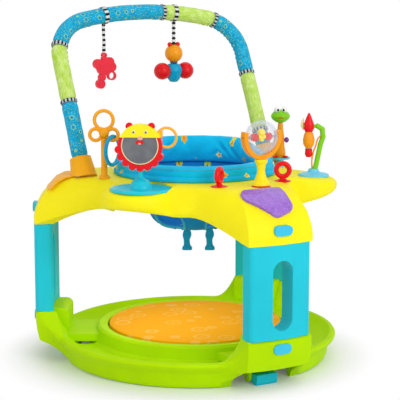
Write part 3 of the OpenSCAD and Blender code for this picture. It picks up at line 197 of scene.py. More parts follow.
def flowers(m, ground, marks, heart, cell, share, size):
    """Plain scattered five-petal flowers, laid flat round the seat: some cells of a cell pattern get one."""
    xyz = m.add("ShaderNodeSeparateXYZ")
    m.join(m.coord.outputs["Object"], xyz.inputs["Vector"])
    x = m.math("SUBTRACT", xyz.outputs["X"], FX)
    round_at = m.math("MULTIPLY", m.math("ARCTAN2", x, m.math("MULTIPLY", xyz.outputs["Y"], -1.0)), HOLE_R * 0.9)
    y = xyz.outputs["Y"]
    out = m.math("SQRT", m.math("ADD", m.math("MULTIPLY", x, x), m.math("MULTIPLY", y, y)))
    flat = m.add("ShaderNodeCombineXYZ")
    m.join(round_at, flat.inputs["X"])
    m.join(m.math("SUBTRACT", xyz.outputs["Z"], out), flat.inputs["Y"])
    v = m.add("ShaderNodeTexVoronoi", voronoi_dimensions="2D", Scale=1 / cell, Randomness=0.7)
    m.join(flat.outputs["Vector"], v.inputs["Vector"])
    off = m.add("ShaderNodeVectorMath", operation="SUBTRACT")
    m.join(flat.outputs["Vector"], off.inputs[0])
    m.join(v.outputs["Position"], off.inputs[1])
    du = m.add("ShaderNodeSeparateXYZ")
    m.join(off.outputs["Vector"], du.inputs["Vector"])
    pick = m.add("ShaderNodeSeparateColor")
    m.join(v.outputs["Color"], pick.inputs["Color"])
    petals = m.math("MULTIPLY", m.math("ARCTAN2", du.outputs["Y"], du.outputs["X"]), 5.0)
    turned = m.math("ADD", petals, m.math("MULTIPLY", pick.outputs["Blue"], TURN))
    edge = m.math("ADD", m.math("MULTIPLY", m.math("COSINE", turned), 0.2), 0.84)
    reach = m.math("ADD", m.math("MULTIPLY", pick.outputs["Green"], size * 0.5), size * 0.75)
    far = m.math("DIVIDE", v.outputs["Distance"], reach)
    chosen = m.math("GREATER_THAN", pick.outputs["Red"], 1 - share)
    petal = m.math("MULTIPLY", chosen, m.math("LESS_THAN", far, edge))
    centre = m.math("MULTIPLY", chosen, m.math("LESS_THAN", far, 0.3))
    mark = m.ramp(pick.outputs["Green"], [(i / len(marks), c) for i, c in enumerate(marks)], "CONSTANT")
    return m.mix(centre, m.mix(petal, ground, mark), heart)


def cloth(name, c, marks=(), cell=0.045, share=0.3, size=0.3):
    m = Nodes(name)
    ground = m.ramp(m.noise(26, 4), [(0.3, shade(c, 0.86)), (0.55, c), (0.78, shade(c, 1.12))])
    m.colour(flowers(m, ground, marks, rgb(240, 130, 30), cell, share, size) if marks else ground)
    cloth_base(m)
    return m.mat


def ring_print(name, c, dark, light, cell):
    """Padded sleeve cloth with an all-over print of small rings and specks."""
    m = Nodes(name)
    v = m.add("ShaderNodeTexVoronoi", Scale=1 / cell, Randomness=0.5)
    m.join(m.coord.outputs["UV"], v.inputs["Vector"])
    stops = [(0.0, c), (0.1, dark), (0.22, light), (0.31, c)]
    ring = m.ramp(v.outputs["Distance"], stops, "CONSTANT")
    pick = m.add("ShaderNodeSeparateColor")
    m.join(v.outputs["Color"], pick.inputs["Color"])
    ground = m.ramp(m.noise(70, 4, "UV"), [(0.32, shade(c, 0.82)), (0.5, c), (0.7, shade(c, 1.2))])
    inside = m.math("LESS_THAN", v.outputs["Distance"], 0.31)
    shown = m.math("MULTIPLY", inside, m.math("GREATER_THAN", pick.outputs["Red"], 0.25))
    specks = m.math("MULTIPLY", m.math("GREATER_THAN", m.noise(300, 1, "UV"), 0.62), 0.6)
    m.colour(m.mix(m.math("MULTIPLY", shown, 0.75), m.mix(specks, ground, light), ring))
    cloth_base(m)
    return m.mat


def leaf_print(name, c, dark, light):
    """Padded sleeve cloth with a soft two-tone swirl of leaves."""
    m = Nodes(name)
    w = m.add("ShaderNodeTexWave", Scale=34, Distortion=14, Detail=3)
    w.wave_type = "RINGS"
    m.join(m.coord.outputs["UV"], w.inputs["Vector"])
    swirl = m.ramp(w.outputs["Fac"], [(0.25, dark), (0.5, c), (0.8, light)])
    blot = m.ramp(m.noise(60, 4, "UV"), [(0.3, dark), (0.52, c), (0.72, light)])
    m.colour(m.mix(0.7, swirl, blot))
    cloth_base(m)
    return m.mat


def stripe_cloth(name, a, b, pitch, across):
    """Binding tape in two colours, striped along one of its own directions."""
    m = Nodes(name)
    sep = m.add("ShaderNodeSeparateXYZ")
    m.join(m.coord.outputs["UV"], sep.inputs["Vector"])
    phase = m.math("FRACT", m.math("DIVIDE", sep.outputs[across], pitch))
    worn = m.noise(300, 2, "UV")
    edge = m.math("GREATER_THAN", m.math("ADD", phase, m.math("MULTIPLY", worn, 0.1)), 0.55)
    m.colour(m.mix(edge, a, b))
    cloth_base(m, 2500)
    return m.mat


# Materials
YELLOW, GREEN, TURQ = rgb(254, 240, 24), rgb(182, 228, 0), rgb(34, 200, 220)
AMBER = rgb(252, 170, 18)
mats = {
    "tray_yellow": plastic("tray_yellow", YELLOW, 0.46, 0.02, 0.12, 0.1),
    "base_green": plastic("base_green", GREEN, 0.56, 0.0, 0.12, 0.06),
    "column_blue": plastic("column_blue", TURQ, 0.52, 0.02, 0.12, 0.12),
    "button_blue": plastic("button_blue", rgb(60, 198, 232)),
    "foot_blue": plastic("foot_blue", rgb(8, 186, 216), 0.55, 0.02, 0.3),
    "saddle_orange": plastic("saddle_orange", rgb(255, 182, 12)),
    "seat_plastic": plastic("seat_plastic", rgb(4, 140, 194)),
    "toy_red": plastic("toy_red", rgb(234, 10, 22), 0.32, 0.12),
    "toy_coral": plastic("toy_coral", rgb(246, 44, 66), 0.4, 0.05),
    "toy_yellow": plastic("toy_yellow", rgb(255, 232, 14), 0.32, 0.12),
    "toy_orange": plastic("toy_orange", rgb(252, 160, 12), 0.32, 0.12),
    "toy_amber": plastic("toy_amber", AMBER, 0.36, 0.08),
    "toy_cyan": plastic("toy_cyan", rgb(10, 200, 222), 0.32, 0.12),
    "toy_sky": plastic("toy_sky", rgb(112, 206, 236), 0.36, 0.1),
    "toy_green": plastic("toy_green", rgb(130, 208, 8), 0.32, 0.12),
    "toy_blue": plastic("toy_blue", rgb(0, 164, 210), 0.32, 0.12),
    "toy_purple": plastic("toy_purple", rgb(120, 66, 168), 0.32, 0.12),
    "toy_white": plastic("toy_white", rgb(244, 244, 240), 0.28, 0.12),
    "toy_pink": plastic("toy_pink", rgb(250, 176, 168), 0.32, 0.08),
    "toy_pale": plastic("toy_pale", rgb(238, 228, 176), 0.36, 0.06),
    "toy_black": plastic("toy_black", rgb(26, 24, 30), 0.28, 0.12),
    "toy_slate": plastic("toy_slate", rgb(96, 88, 122), 0.3, 0.1),
    "tube_white": plastic("tube_white", rgb(225, 225, 222)),
}


def head_paint():
    """Mirror head: yellow cap, with the handle ring beyond its rim in amber."""
    cap_r = 0.0492
    m = Nodes("mirror_head")
    off = m.add("ShaderNodeVectorMath", operation="DISTANCE")
    m.join(m.coord.outputs["Object"], off.inputs[0])
    off.inputs[1].default_value = polar(*MIRROR_AT, POD_SEAT_Z + MIRROR_Z)
    ring = m.math("GREATER_THAN", off.outputs["Value"], cap_r)
    cap = m.ramp(m.noise(9, 4), [(0.3, shade(rgb(252, 240, 8), 0.95)), (0.7, rgb(255, 242, 16))])
    m.colour(m.mix(ring, cap, m.ramp(m.noise(14, 3), [(0.3, shade(AMBER, 0.95)), (0.7, rgb(255, 190, 36))])))
    m.rough(m.noise(45, 3), 0.28, 0.4)
    m.bump(m.noise(1400, 2), 0.12, 0.0004)
    return m.put(Coat_Weight=0.1, Coat_Roughness=0.2, Specular_IOR_Level=0.35)


def pad_material():
    """Floor pad: orange, with a faint paler print of rings and dots."""
    m = Nodes("pad_orange")
    c, pale = rgb(255, 172, 6), rgb(253, 200, 100)
    ground = m.ramp(m.noise(5, 3), [(0.3, shade(c, 0.95)), (0.7, shade(c, 1.04))])
    v = m.add("ShaderNodeTexVoronoi", Scale=17, Randomness=0.8)
    m.join(m.coord.outputs["Object"], v.inputs["Vector"])
    on, off = (1, 1, 1, 1), (0, 0, 0, 1)
    rings = m.ramp(v.outputs["Distance"], [(0, on), (0.1, off), (0.24, on), (0.34, off)], "CONSTANT")
    m.colour(m.mix(m.math("MULTIPLY", rings, m.math("MULTIPLY", m.noise(14, 3), 0.9)), ground, pale))
    m.rough(m.noise(80), 0.6, 0.75)
    m.bump(m.noise(900, 3), 0.3, 0.0006)
    return m.put(Specular_IOR_Level=0.06)


def lens_material():
    """Frosted light cover: purple with small bright flecks under a glossy skin."""
    m = Nodes("lens_purple")
    c = rgb(150, 88, 208)
    v = m.add("ShaderNodeTexVoronoi", Scale=240)
    m.join(m.coord.outputs["Object"], v.inputs["Vector"])
    flecks = m.ramp(v.outputs["Distance"], [(0.0, rgb(206, 170, 240)), (0.3, c), (0.8, shade(c, 0.72))])
    m.colour(m.mix(0.35, flecks, m.ramp(m.noise(60, 4), [(0.35, shade(c, 0.82)), (0.65, rgb(178, 126, 226))])))
    m.bump(v.outputs["Distance"], 0.35, 0.0008)
    m.rough(m.noise(50), 0.25, 0.4)
    return m.put(Subsurface_Weight=0.15, Subsurface_Scale=0.01, Coat_Weight=0.6, Coat_Roughness=0.1)


def steel_material():
    m = Nodes("pin_steel")
    m.colour(m.ramp(m.noise(600, 2, stretch=(1, 1, 0.05)), [(0.3, rgb(150, 150, 152)), (0.7, rgb(196, 196, 198))]))
    m.rough(m.noise(200), 0.25, 0.4)
    return m.put(Metallic=1.0)


def mirror_material():
    """Soft toy mirror: foil with a slight haze and ripple."""
    m = Nodes("mirror_foil")
    m.colour(m.ramp(m.noise(30, 3), [(0.3, rgb(98, 100, 104)), (0.7, rgb(124, 126, 130))]))
    m.rough(m.noise(50), 0.22, 0.36)
    m.bump(m.noise(24, 2), 0.08, 0.001)
    return m.put(Metallic=0.75)


def clear_material():
    """Clear ball: thin tinted plastic that shows what is inside."""
    m = Nodes("ball_clear")
    m.colour(m.ramp(m.noise(20, 2), [(0.3, rgb(214, 226, 246)), (0.7, rgb(240, 244, 252))]))
    m.rough(m.noise(60), 0.03, 0.08)
    glaze = m.add("ShaderNodeLayerWeight", Blend=0.35)
    n = m.add("ShaderNodeMapRange")
    n.inputs["To Min"].default_value = 0.05
    n.inputs["To Max"].default_value = 0.5
    m.join(glaze.outputs["Facing"], n.inputs["Value"])
    m.join(n.outputs["Result"], m.bsdf.inputs["Alpha"])
    return m.put(Coat_Weight=0.6, Coat_Roughness=0.05)


mats["pad_orange"] = pad_material()
mats["lens_purple"] = lens_material()
mats["pin_steel"] = steel_material()
mats["mirror_foil"] = mirror_material()
mats["ball_clear"] = clear_material()
mats["mirror_head"] = head_paint()
SEAT = rgb(0, 138, 212)
MARKS = [rgb(252, 220, 60), rgb(246, 176, 40), rgb(250, 240, 170), rgb(204, 222, 84)]
mats["seat_cloth"] = cloth("seat_cloth", SEAT, MARKS, 0.05, 0.45, 0.2)
mats["roll_cloth"] = cloth("roll_cloth", rgb(4, 196, 244), MARKS, 0.042, 0.5, 0.21)
mats["tab_cloth"] = cloth("tab_cloth", rgb(24, 160, 210))
mats["piping"] = cloth("piping", rgb(60, 186, 220))
mats["sleeve_blue"] = ring_print("sleeve_blue", rgb(0, 170, 216), rgb(10, 128, 184), rgb(168, 218, 130), 0.019)
mats["sleeve_green"] = leaf_print("sleeve_green", rgb(200, 232, 112), rgb(176, 216, 66), rgb(224, 242, 160))
mats["cuff_stripe"] = stripe_cloth("cuff_stripe", rgb(34, 36, 44), rgb(196, 206, 210), 0.009, 1)
mats["strap_black"] = stripe_cloth("strap_black", rgb(26, 26, 28), rgb(232, 232, 228), 0.012, 0)


EDGE_SEGMENTS, EDGE_ANGLE, WELD_GAP = 3, radians(32), 0.00002
BIG_EDGE, SMALL_EDGE = 0.004, 0.0009


# Shown CAD pieces keep their meshes and get rounded edges and their finish
def dress(node, material, bevel):
    o = nodes[node]
    o.data.materials.clear()
    o.data.materials.append(mats[material])
    o.data.polygons.foreach_set("use_smooth", [True] * len(o.data.polygons))
    weld = o.modifiers.new("weld", "WELD")
    weld.merge_threshold = WELD_GAP
    b = o.modifiers.new("edges", "BEVEL")
    b.width = bevel
    b.segments = EDGE_SEGMENTS
    b.limit_method = "ANGLE"
    b.angle_limit = EDGE_ANGLE
    w = o.modifiers.new("normals", "WEIGHTED_NORMAL")
    w.weight = 60
    w.keep_sharp = False


soft = {
    "arch_sleeve_blue", "arch_sleeve_green", "arch_cuffs", "seat_bucket", "seat_roll", "seat_tabs", "teether_strap",
    "bug_chain",
}
bevels = {
    "tray": 0.003, "base_saucer": 0.003, "light_lens": 0.002, "arch_saddle_left": 0.004, "arch_saddle_rear": 0.004,
}
paint = {
    "teether": "toy_coral", "hook_base": "toy_sky", "frog_plate": "toy_sky", "mirror_head": "mirror_head",
    "flower_stem": "toy_amber", "flower_loops": "toy_amber",
}
for sub in frame["record"]["subparts"]:
    n = sub["node"]
    if n in soft:
        continue
    big = n.startswith("column") or n.startswith("foot_") and n != "foot_pins"
    dress(n, paint.get(n, sub["material_slot"]), bevels.get(n, BIG_EDGE if big else SMALL_EDGE))


# Mesh building
def new_piece(name, verts, faces, material, body, uvs, smooth=True):
    me = bpy.data.meshes.new(name)
    me.from_pydata([tuple(v) for v in verts], [], faces)
    layer = me.uv_layers.new(name="UVMap")
    layer.data.foreach_set("uv", [c for f in uvs for uv in f for c in uv])
    me.validate()
    me.polygons.foreach_set("use_smooth", [smooth] * len(me.polygons))
    o = bpy.data.objects.new(name, me)
    scene.collection.objects.link(o)
    me.materials.append(material)
    if body:
        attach(o, body)
    return o


def loft(rings, us=None, vs=None, wrap_u=False, caps=False):
    """Faces and their flat coordinates for rings of points; each ring closes on itself."""
    n, m = len(rings), len(rings[0])
    verts = [p for r in rings for p in r]
    faces, uvs = [], []
    us = us or [i * 0.01 for i in range(n + 1)]
    vs = vs or [j * 0.01 for j in range(m + 1)]
    for i in range(n if wrap_u else n - 1):
        k = (i + 1) % n
        for j in range(m):
            l = (j + 1) % m
            faces.append((i * m + j, k * m + j, k * m + l, i * m + l))
            uvs.append(((us[i], vs[j]), (us[i + 1], vs[j]), (us[i + 1], vs[j + 1]), (us[i], vs[j + 1])))
    if caps:
        faces.append(tuple(range(m)))
        uvs.append(tuple((0, vs[j]) for j in range(m)))
        faces.append(tuple((n - 1) * m + j for j in reversed(range(m))))
        uvs.append(tuple((us[n - 1], vs[j]) for j in reversed(range(m))))
    return verts, faces, uvs


def merge(parts):
    verts, faces, uvs = [], [], []
    for v, f, u in parts:
        k = len(verts)
        verts += v
        faces += [tuple(i + k for i in q) for q in f]
        uvs += u
    return verts, faces, uvs


def tube(points, radius, sides, closed=False):
    """A round tube along points; radius is a number or a function of the share along it."""
    pts = [Vector(p) for p in points]
    n = len(pts)
    up = Vector((0, 0, 1))
    rings, us, run = [], [], 0
    prev = None
    for i, p in enumerate(pts):
        a = pts[i - 1] if i or closed else p
        b = pts[(i + 1) % n] if i < n - 1 or closed else p
        t = (b - a).normalized()
        if prev is None:
            side = t.cross(up) if abs(t.dot(up)) < 0.95 else t.cross(Vector((1, 0, 0)))
        else:
            side = prev - t * prev.dot(t)
        side.normalize()
        prev = side
        other = t.cross(side)
        r = radius(i / max(1, n - 1)) if callable(radius) else radius
        rings.append([p + (side * cos(q) + other * sin(q)) * r for q in [2 * pi * k / sides for k in range(sides)]])
        if i:
            run += (p - pts[i - 1]).length
        us.append(run)
    us.append(run + 0.01)
    rr = radius(0.5) if callable(radius) else radius
    vs = [2 * pi * rr * k / sides for k in range(sides + 1)]
    return loft(rings, us, vs, closed, not closed)


def trim(name, parts, material, body, smooth=True):
    """One piece made of several parts."""
    v, f, u = merge(parts)
    return new_piece(name, v, f, mats[material], body, u, smooth)


# Arch line
CROWN_HALF = asin((ARCH_HALF - CORNER_R) / (CROWN_R - CORNER_R))
CORNER_Z = ARCH_H - CROWN_R + sqrt((CROWN_R - CORNER_R) ** 2 - (ARCH_HALF - CORNER_R) ** 2)
CORNER_LEN = CORNER_R * (pi / 2 - CROWN_HALF)
CROWN_LEN = CROWN_R * 2 * CROWN_HALF
ARCH_LEN = 2 * (CORNER_Z + CORNER_LEN) + CROWN_LEN
# directions: along the arch's chord, away from it, up the lean and across the tube
SD, ND = Vector((cos(radians(30)), sin(radians(30)), 0)), Vector((cos(radians(120)), sin(radians(120)), 0))
UP = ND * sin(ARCH_LEAN) + Vector((0, 0, cos(ARCH_LEAN)))
ACROSS = ND * cos(ARCH_LEAN) - Vector((0, 0, sin(ARCH_LEAN)))
ORIGIN = Vector((FX, 0, ARCH_FOOT_Z)) + ND * ARCH_CHORD


def arch_at(l):
    """Place and outward direction at a length from the left foot."""
    if l < CORNER_Z:
        s, h, t = -ARCH_HALF, l, pi / 2
    elif l < CORNER_Z + CORNER_LEN:
        a = pi - (l - CORNER_Z) / CORNER_R
        s, h, t = CORNER_R - ARCH_HALF + CORNER_R * cos(a), CORNER_Z + CORNER_R * sin(a), a - pi / 2
    elif l < CORNER_Z + CORNER_LEN + CROWN_LEN:
        a = pi / 2 + CROWN_HALF - (l - CORNER_Z - CORNER_LEN) / CROWN_R
        s, h, t = CROWN_R * cos(a), ARCH_H - CROWN_R + CROWN_R * sin(a), a - pi / 2
    elif l < ARCH_LEN - CORNER_Z:
        a = pi / 2 - CROWN_HALF - (l - CORNER_Z - CORNER_LEN - CROWN_LEN) / CORNER_R
        s, h, t = ARCH_HALF - CORNER_R + CORNER_R * cos(a), CORNER_Z + CORNER_R * sin(a), a - pi / 2
    else:
        s, h, t = ARCH_HALF, ARCH_LEN - l, -pi / 2
    return ORIGIN + SD * s + UP * h, UP * cos(t) - SD * sin(t)


# ends of sleeves and cuffs in turn, as shares of the arch's length
BANDS = [0.009, 0.1269, 0.134, 0.2523, 0.2601, 0.539, 0.5462, 0.667, 0.6742, 0.8175, 0.8246, 0.952, 0.9597, 0.991]
SLEEVE_R, CUFF_R, CUFF_MEAN_R = 0.0185, 0.0189, 0.0193


def in_bend(l):
    """Whether a length along the arch lies in one of its two corners."""
    low, high = CORNER_Z - 0.02, CORNER_Z + CORNER_LEN + 0.02
    return low < l < high or low < ARCH_LEN - l < high


def sleeve(i, sides=40):
    """One stuffed length of the arch cover, gathered at both ends and creased inside the bends."""
    l0, l1 = BANDS[i] * ARCH_LEN, BANDS[i + 1] * ARCH_LEN
    count = max(8, int((l1 - l0) / 0.003))
    rings, us = [], []
    for k in range(count + 1):
        l = l0 + (l1 - l0) * k / count
        p, out = arch_at(l)
        end = min(l - l0, l1 - l)
        tuck = 1 - 0.16 * exp(-(end / 0.0045) ** 1.3) + 0.02 * exp(-((end - 0.014) / 0.012) ** 2)
        ring = []
        for j in range(sides):
            q = 2 * pi * j / sides
            d = out * cos(q) + ACROSS * sin(q)
            inner = max(0, -cos(q)) ** 1.5
            crease = (0.0011 * inner * sin(2 * pi * l / 0.0125 + 1.5 * sin(3 * q))) if in_bend(l) else 0
            soft_n = noise.noise(Vector((l * 38, cos(q) * 1.3, sin(q) * 1.3))) * 0.0007
            gather = 0.0005 * cos(14 * q + 3 * sin(q)) * exp(-end / 0.010)
            ring.append(p + d * (SLEEVE_R * tuck + crease + soft_n + gather))
        rings.append(ring)
        us.append(l)
    us.append(l1)
    return loft(rings, us, [2 * pi * SLEEVE_R * j / sides for j in range(sides + 1)], caps=True)


for key, picks in (("sleeve_blue", [0, 4, 8, 12]), ("sleeve_green", [2, 6, 10])):
    o = trim("arch_" + key + "_pad", [sleeve(i) for i in picks], key, "frame")
    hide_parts("arch_" + key)


def cuff(i, sides=84):
    """Ribbed binding between two sleeves."""
    l0, l1 = BANDS[i] * ARCH_LEN, BANDS[i + 1] * ARCH_LEN
    rings, us = [], []
    turns = [2 * pi * j / sides for j in range(sides)]
    for share in (0.02, 0.1, 0.2, 0.35, 0.5, 0.65, 0.8, 0.9, 0.98):
        l = l0 + (l1 - l0) * share
        p, out = arch_at(l)
        roll = 0.0008 * sin(pi * share) + CUFF_R
        rings.append([p + (out * cos(q) + ACROSS * sin(q)) * (roll + 0.00035 * cos(28 * q)) for q in turns])
        us.append(l)
    us.append(l1)
    return loft(rings, us, [2 * pi * CUFF_MEAN_R * j / sides for j in range(sides + 1)], caps=True)


o = trim("arch_cuffs_ribbed", [cuff(i) for i in (1, 3, 5, 7, 9, 11)], "cuff_stripe", "frame")
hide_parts("arch_cuffs")


# Seat roll and back
def back_rise(a):
    """Share of the back's height at an angle round the seat: one behind, none at the front."""
    off = abs((a + 90 + 720) % 360 - 180)
    t = max(0, min(1, (off - 36) / 42))
    return 1 - t * t * (3 - 2 * t)


ROLL_OUT, ROLL_IN, ROLL_LOW = HOLE_R + 0.004, HOLE_R - 0.044, DECK + 0.0045
ROLL_H, BACK_H, ROLL_FLAT = 0.038, 0.034, 0.86
# The high back is slimmer outside, so that it turns past the toys on the tray
BACK_SLIM = 0.0085


def roll_rings(shrink, count=120, sides=26):
    rings = []
    for k in range(count):
        a = 360 * k / count
        top = DECK + ROLL_H + BACK_H * back_rise(a) - shrink
        low = ROLL_LOW + shrink * 0.2
        mid, half = (top + low) / 2, (top - low) / 2
        out_r = ROLL_OUT - BACK_SLIM * back_rise(a)
        ring = []
        for j in range(sides):
            b = -2 * pi * j / sides
            c, h = cos(b), sin(b)
            w = (out_r - ROLL_IN) / 2 - shrink * 0.5
            # fuller below on the outside, and a little flattened on top
            side = abs(c) ** (0.8 if h > 0 else 0.4) if c > 0 else -abs(c) ** 0.9
            rise = half * h * (ROLL_FLAT + (1 - ROLL_FLAT) * abs(h)) if h > 0 else half * h * 1.1
            ring.append(polar(a, (out_r + ROLL_IN) / 2 + w * side, max(low, mid + rise)))
        rings.append(ring)
    return rings


def remeshed(o, voxel):
    r = o.modifiers.new("remesh", "REMESH")
    r.mode = "VOXEL"
    r.voxel_size = voxel
    deps = bpy.context.evaluated_depsgraph_get()
    me = bpy.data.meshes.new_from_object(o.evaluated_get(deps))
    o.modifiers.remove(r)
    old = o.data
    o.data = me
    bpy.data.meshes.remove(old)


def inflate(o, pressure, frames, cap, pin):
    """Stuffing: cloth under pressure with sewn lines pinned, then applied, with each point's travel capped."""
    start = [v.co.copy() for v in o.data.vertices]
    g = o.vertex_groups.new(name="sewn")
    for i, p in enumerate(start):
        w = pin(p)
        if w > 0:
            g.add([i], w, "REPLACE")
    c = o.modifiers.new("cloth", "CLOTH")
    s = c.settings
    s.use_pressure = True
    s.uniform_pressure_force = pressure
    s.quality = 5
    s.mass = 0.3
    s.tension_stiffness = 12
    s.compression_stiffness = 12
    s.bending_stiffness = 0.4
    s.vertex_group_mass = "sewn"
    s.effector_weights.gravity = 0
    c.point_cache.frame_start = 1
    c.point_cache.frame_end = frames
    for k in range(1, frames + 1):
        scene.frame_set(k)
    deps = bpy.context.evaluated_depsgraph_get()
    done = o.evaluated_get(deps).data
    for i, v in enumerate(done.vertices):
        d = v.co - start[i]
        if d.length > cap:
            d *= cap / d.length
        start[i] = start[i] + d
    o.modifiers.remove(c)
    o.vertex_groups.remove(g)
    for v, p in zip(o.data.vertices, start):
        v.co = p
    scene.frame_set(1)


def angle_of(p):
    return atan2(p[1], p[0] - FX) * 180 / pi % 360


SEAMS = (38, 142)
# creases pulled into the back and sides: angle, height above the rim, slant, reach and depth
CREASES = (
    (62, 0.034, 0.9, 0.020, 0.0042), (50, 0.026, 1.1, 0.022, 0.0036), (72, 0.020, -0.7, 0.014, 0.0024),
    (118, 0.036, -0.9, 0.018, 0.0034), (131, 0.022, -1.1, 0.018, 0.0030), (20, 0.020, 0.5, 0.016, 0.0022),
    (160, 0.020, -0.5, 0.016, 0.0022), (250, 0.018, 0.4, 0.012, 0.0014), (296, 0.018, -0.4, 0.012, 0.0014),
)


def seam_gap(p):
    r = hypot(p[0] - FX, p[1])
    return min(abs((angle_of(p) - s + 180) % 360 - 180) for s in SEAMS) * pi / 180 * r


def roll_pin(p):
    return 1.0 if p[2] < ROLL_LOW + 0.004 or seam_gap(p) < 0.004 else 0.0


def crease_depth(p):
    total = 0
    r = hypot(p[0] - FX, p[1])
    for a, h, slant, reach, depth in CREASES:
        x = ((angle_of(p) - a + 180) % 360 - 180) * pi / 180 * r
        y = p[2] - ROLL_LOW - h
        n = sqrt(1 + slant * slant)
        along, across = (x + slant * y) / n, (y - slant * x) / n
        # a furrow with a raised lip on both sides
        total += depth * exp(-(across / 0.0045) ** 2 - (along / reach) ** 2)
        total -= 0.45 * depth * exp(-((abs(across) - 0.009) / 0.005) ** 2 - (along / reach) ** 2)
    return total


v, f, u = loft(roll_rings(0.004), wrap_u=True)
roll = new_piece("seat_roll_pad", v, f, mats["roll_cloth"], None, u)
remeshed(roll, voxel=0.0045)
inflate(roll, pressure=5, frames=16, cap=0.005, pin=roll_pin)
roll.data.update()
normals = [v.normal.copy() for v in roll.data.vertices]
for vert, n in zip(roll.data.vertices, normals):
    p = vert.co.copy()
    lift = max(0, min(1, (p.z - ROLL_LOW) / 0.02))
    soft_n = 0.0011 * noise.noise(Vector((angle_of(p) * 0.09, p.z * 34, hypot(p.x - FX, p.y) * 26)))
    pull = crease_depth(p) + 0.003 * exp(-(seam_gap(p) / 0.005) ** 2) + soft_n
    vert.co = p - n * pull * lift
    vert.co.z = max(vert.co.z, ROLL_LOW)
sub = roll.modifiers.new("smooth", "SUBSURF")
sub.levels = sub.render_levels = 1
roll.data.polygons.foreach_set("use_smooth", [True] * len(roll.data.polygons))
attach(roll, "seat")
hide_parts("seat_roll")


# Piping laid along the outer upper edge of the finished roll
PIPING_R, PIPING_SINK = 0.0019, 0.0004


def edge_line(count):
    best = [None] * count
    for vert in roll.data.vertices:
        k = int(angle_of(vert.co) / 360 * count) % count
        r = hypot(vert.co.x - FX, vert.co.y)
        score = r + vert.co.z
        if best[k] is None or score > best[k][0]:
            best[k] = (score, r, vert.co.z)
    rs = [b[1] for b in best]
    zs = [b[2] for b in best]
    line = []
    for k in range(count):
        near = [(k + d) % count for d in (-2, -1, 0, 1, 2)]
        r = sum(rs[i] for i in near) / len(near)
        z = sum(zs[i] for i in near) / len(near)
        line.append(polar((k + 0.5) * 360 / count, r - PIPING_SINK, z - PIPING_SINK))
    return line


trim("seat_piping", [tube(edge_line(120), PIPING_R, 10, closed=True)], "piping", "seat")

# Skirt of the roll, drawn over the ring's flange and stitched under its rim: radius and height of its rows
FLANGE_R, SKIRT_STEPS, SKIRT_STEP = 0.185, 240, 0.0049
SKIRT = ((0.1800, 0.4450), (0.1846, 0.4420), (0.1876, 0.4385), (0.1889, 0.4355), (0.1890, 0.4328), (0.1882, 0.4318))
SKIRT_RUN = [0, 0.0055, 0.010, 0.0133, 0.016, 0.0173, 0.018]
rings = []
for r, z in SKIRT:
    ring = []
    for k in range(SKIRT_STEPS):
        a = 360 * k / SKIRT_STEPS
        pull = 0.0005 * sin(radians(a * 31)) + 0.0005 * noise.noise(Vector((a * 0.35, z * 160, 0)))
        ring.append(polar(a, r + (pull if r > FLANGE_R else 0), z))
    rings.append(ring)
v, f, u = loft(rings, SKIRT_RUN, [SKIRT_STEP * k for k in range(SKIRT_STEPS + 1)])
skirt = new_piece("seat_skirt", v, f, mats["roll_cloth"], "seat", u)
thick = skirt.modifiers.new("thick", "SOLIDIFY")
thick.thickness = 0.0012

# Stitches that hold the skirt to the roll
STITCHES = 216
stitches = []
for k in range(STITCHES):
    a0, a1 = k * 360 / STITCHES, (k + 0.6) * 360 / STITCHES
    line = [polar(a0, 0.1884, 0.4372), polar((a0 + a1) / 2, 0.1893, 0.4373), polar(a1, 0.1884, 0.4374)]
    stitches.append(tube(line, 0.00045, 6))
trim("seat_stitches", stitches, "piping", "seat")

# Seat bucket
HEM_R, CLOTH = HOLE_R - 0.0133, 0.004
BUCKET_DEEP = 0.131
# its profile: share of the hem's radius, share of the depth
BUCKET = [
    (0.0, 1.0), (0.2, 0.999), (0.37, 0.99), (0.46, 0.965), (0.53, 0.925), (0.585, 0.85), (0.63, 0.755), (0.69, 0.6),
    (0.75, 0.43), (0.82, 0.28), (0.88, 0.165), (0.93, 0.08), (0.965, 0.02),
]
LEG_HOLE_R, LEG_TURN, LEG_DIP = 0.042, 40, radians(23)
# a leg opening starts this far from the bucket's middle
LEG_NEAR = 0.02
LEG_BASE = Vector((FX, 0, DECK - BUCKET_DEEP * 0.45))


def bucket_point(a, s, d):
    """A point of the cloth at an angle, a share of the hem's radius and a share of the depth, with soft folds."""
    fold = 0.022 * d * cos(8 * radians(a)) + 0.008 * d * sin(17 * radians(a) + 2)
    wr = noise.noise(Vector((cos(radians(a)) * 3, sin(radians(a)) * 3, d * 5))) * 0.0022 * d
    r = s * (HEM_R - CLOTH) * (1 + fold) + wr
    return polar(a, max(0, r), DECK + CLOTH - d * BUCKET_DEEP)


def leg_axis(s):
    """Direction of a leg opening: out of the bucket, to the front and a little down."""
    az = radians(s * LEG_TURN - 90)
    return Vector((cos(az) * cos(LEG_DIP), sin(az) * cos(LEG_DIP), -sin(LEG_DIP)))


def leg_hole(p):
    """How far a point is inside a leg opening, measured across its axis; negative is outside."""
    best = -1
    for s in BOTH:
        axis = leg_axis(s)
        w = p - LEG_BASE
        along = w.dot(axis)
        if along > LEG_NEAR:
            best = max(best, LEG_HOLE_R - (w - axis * along).length)
    return best


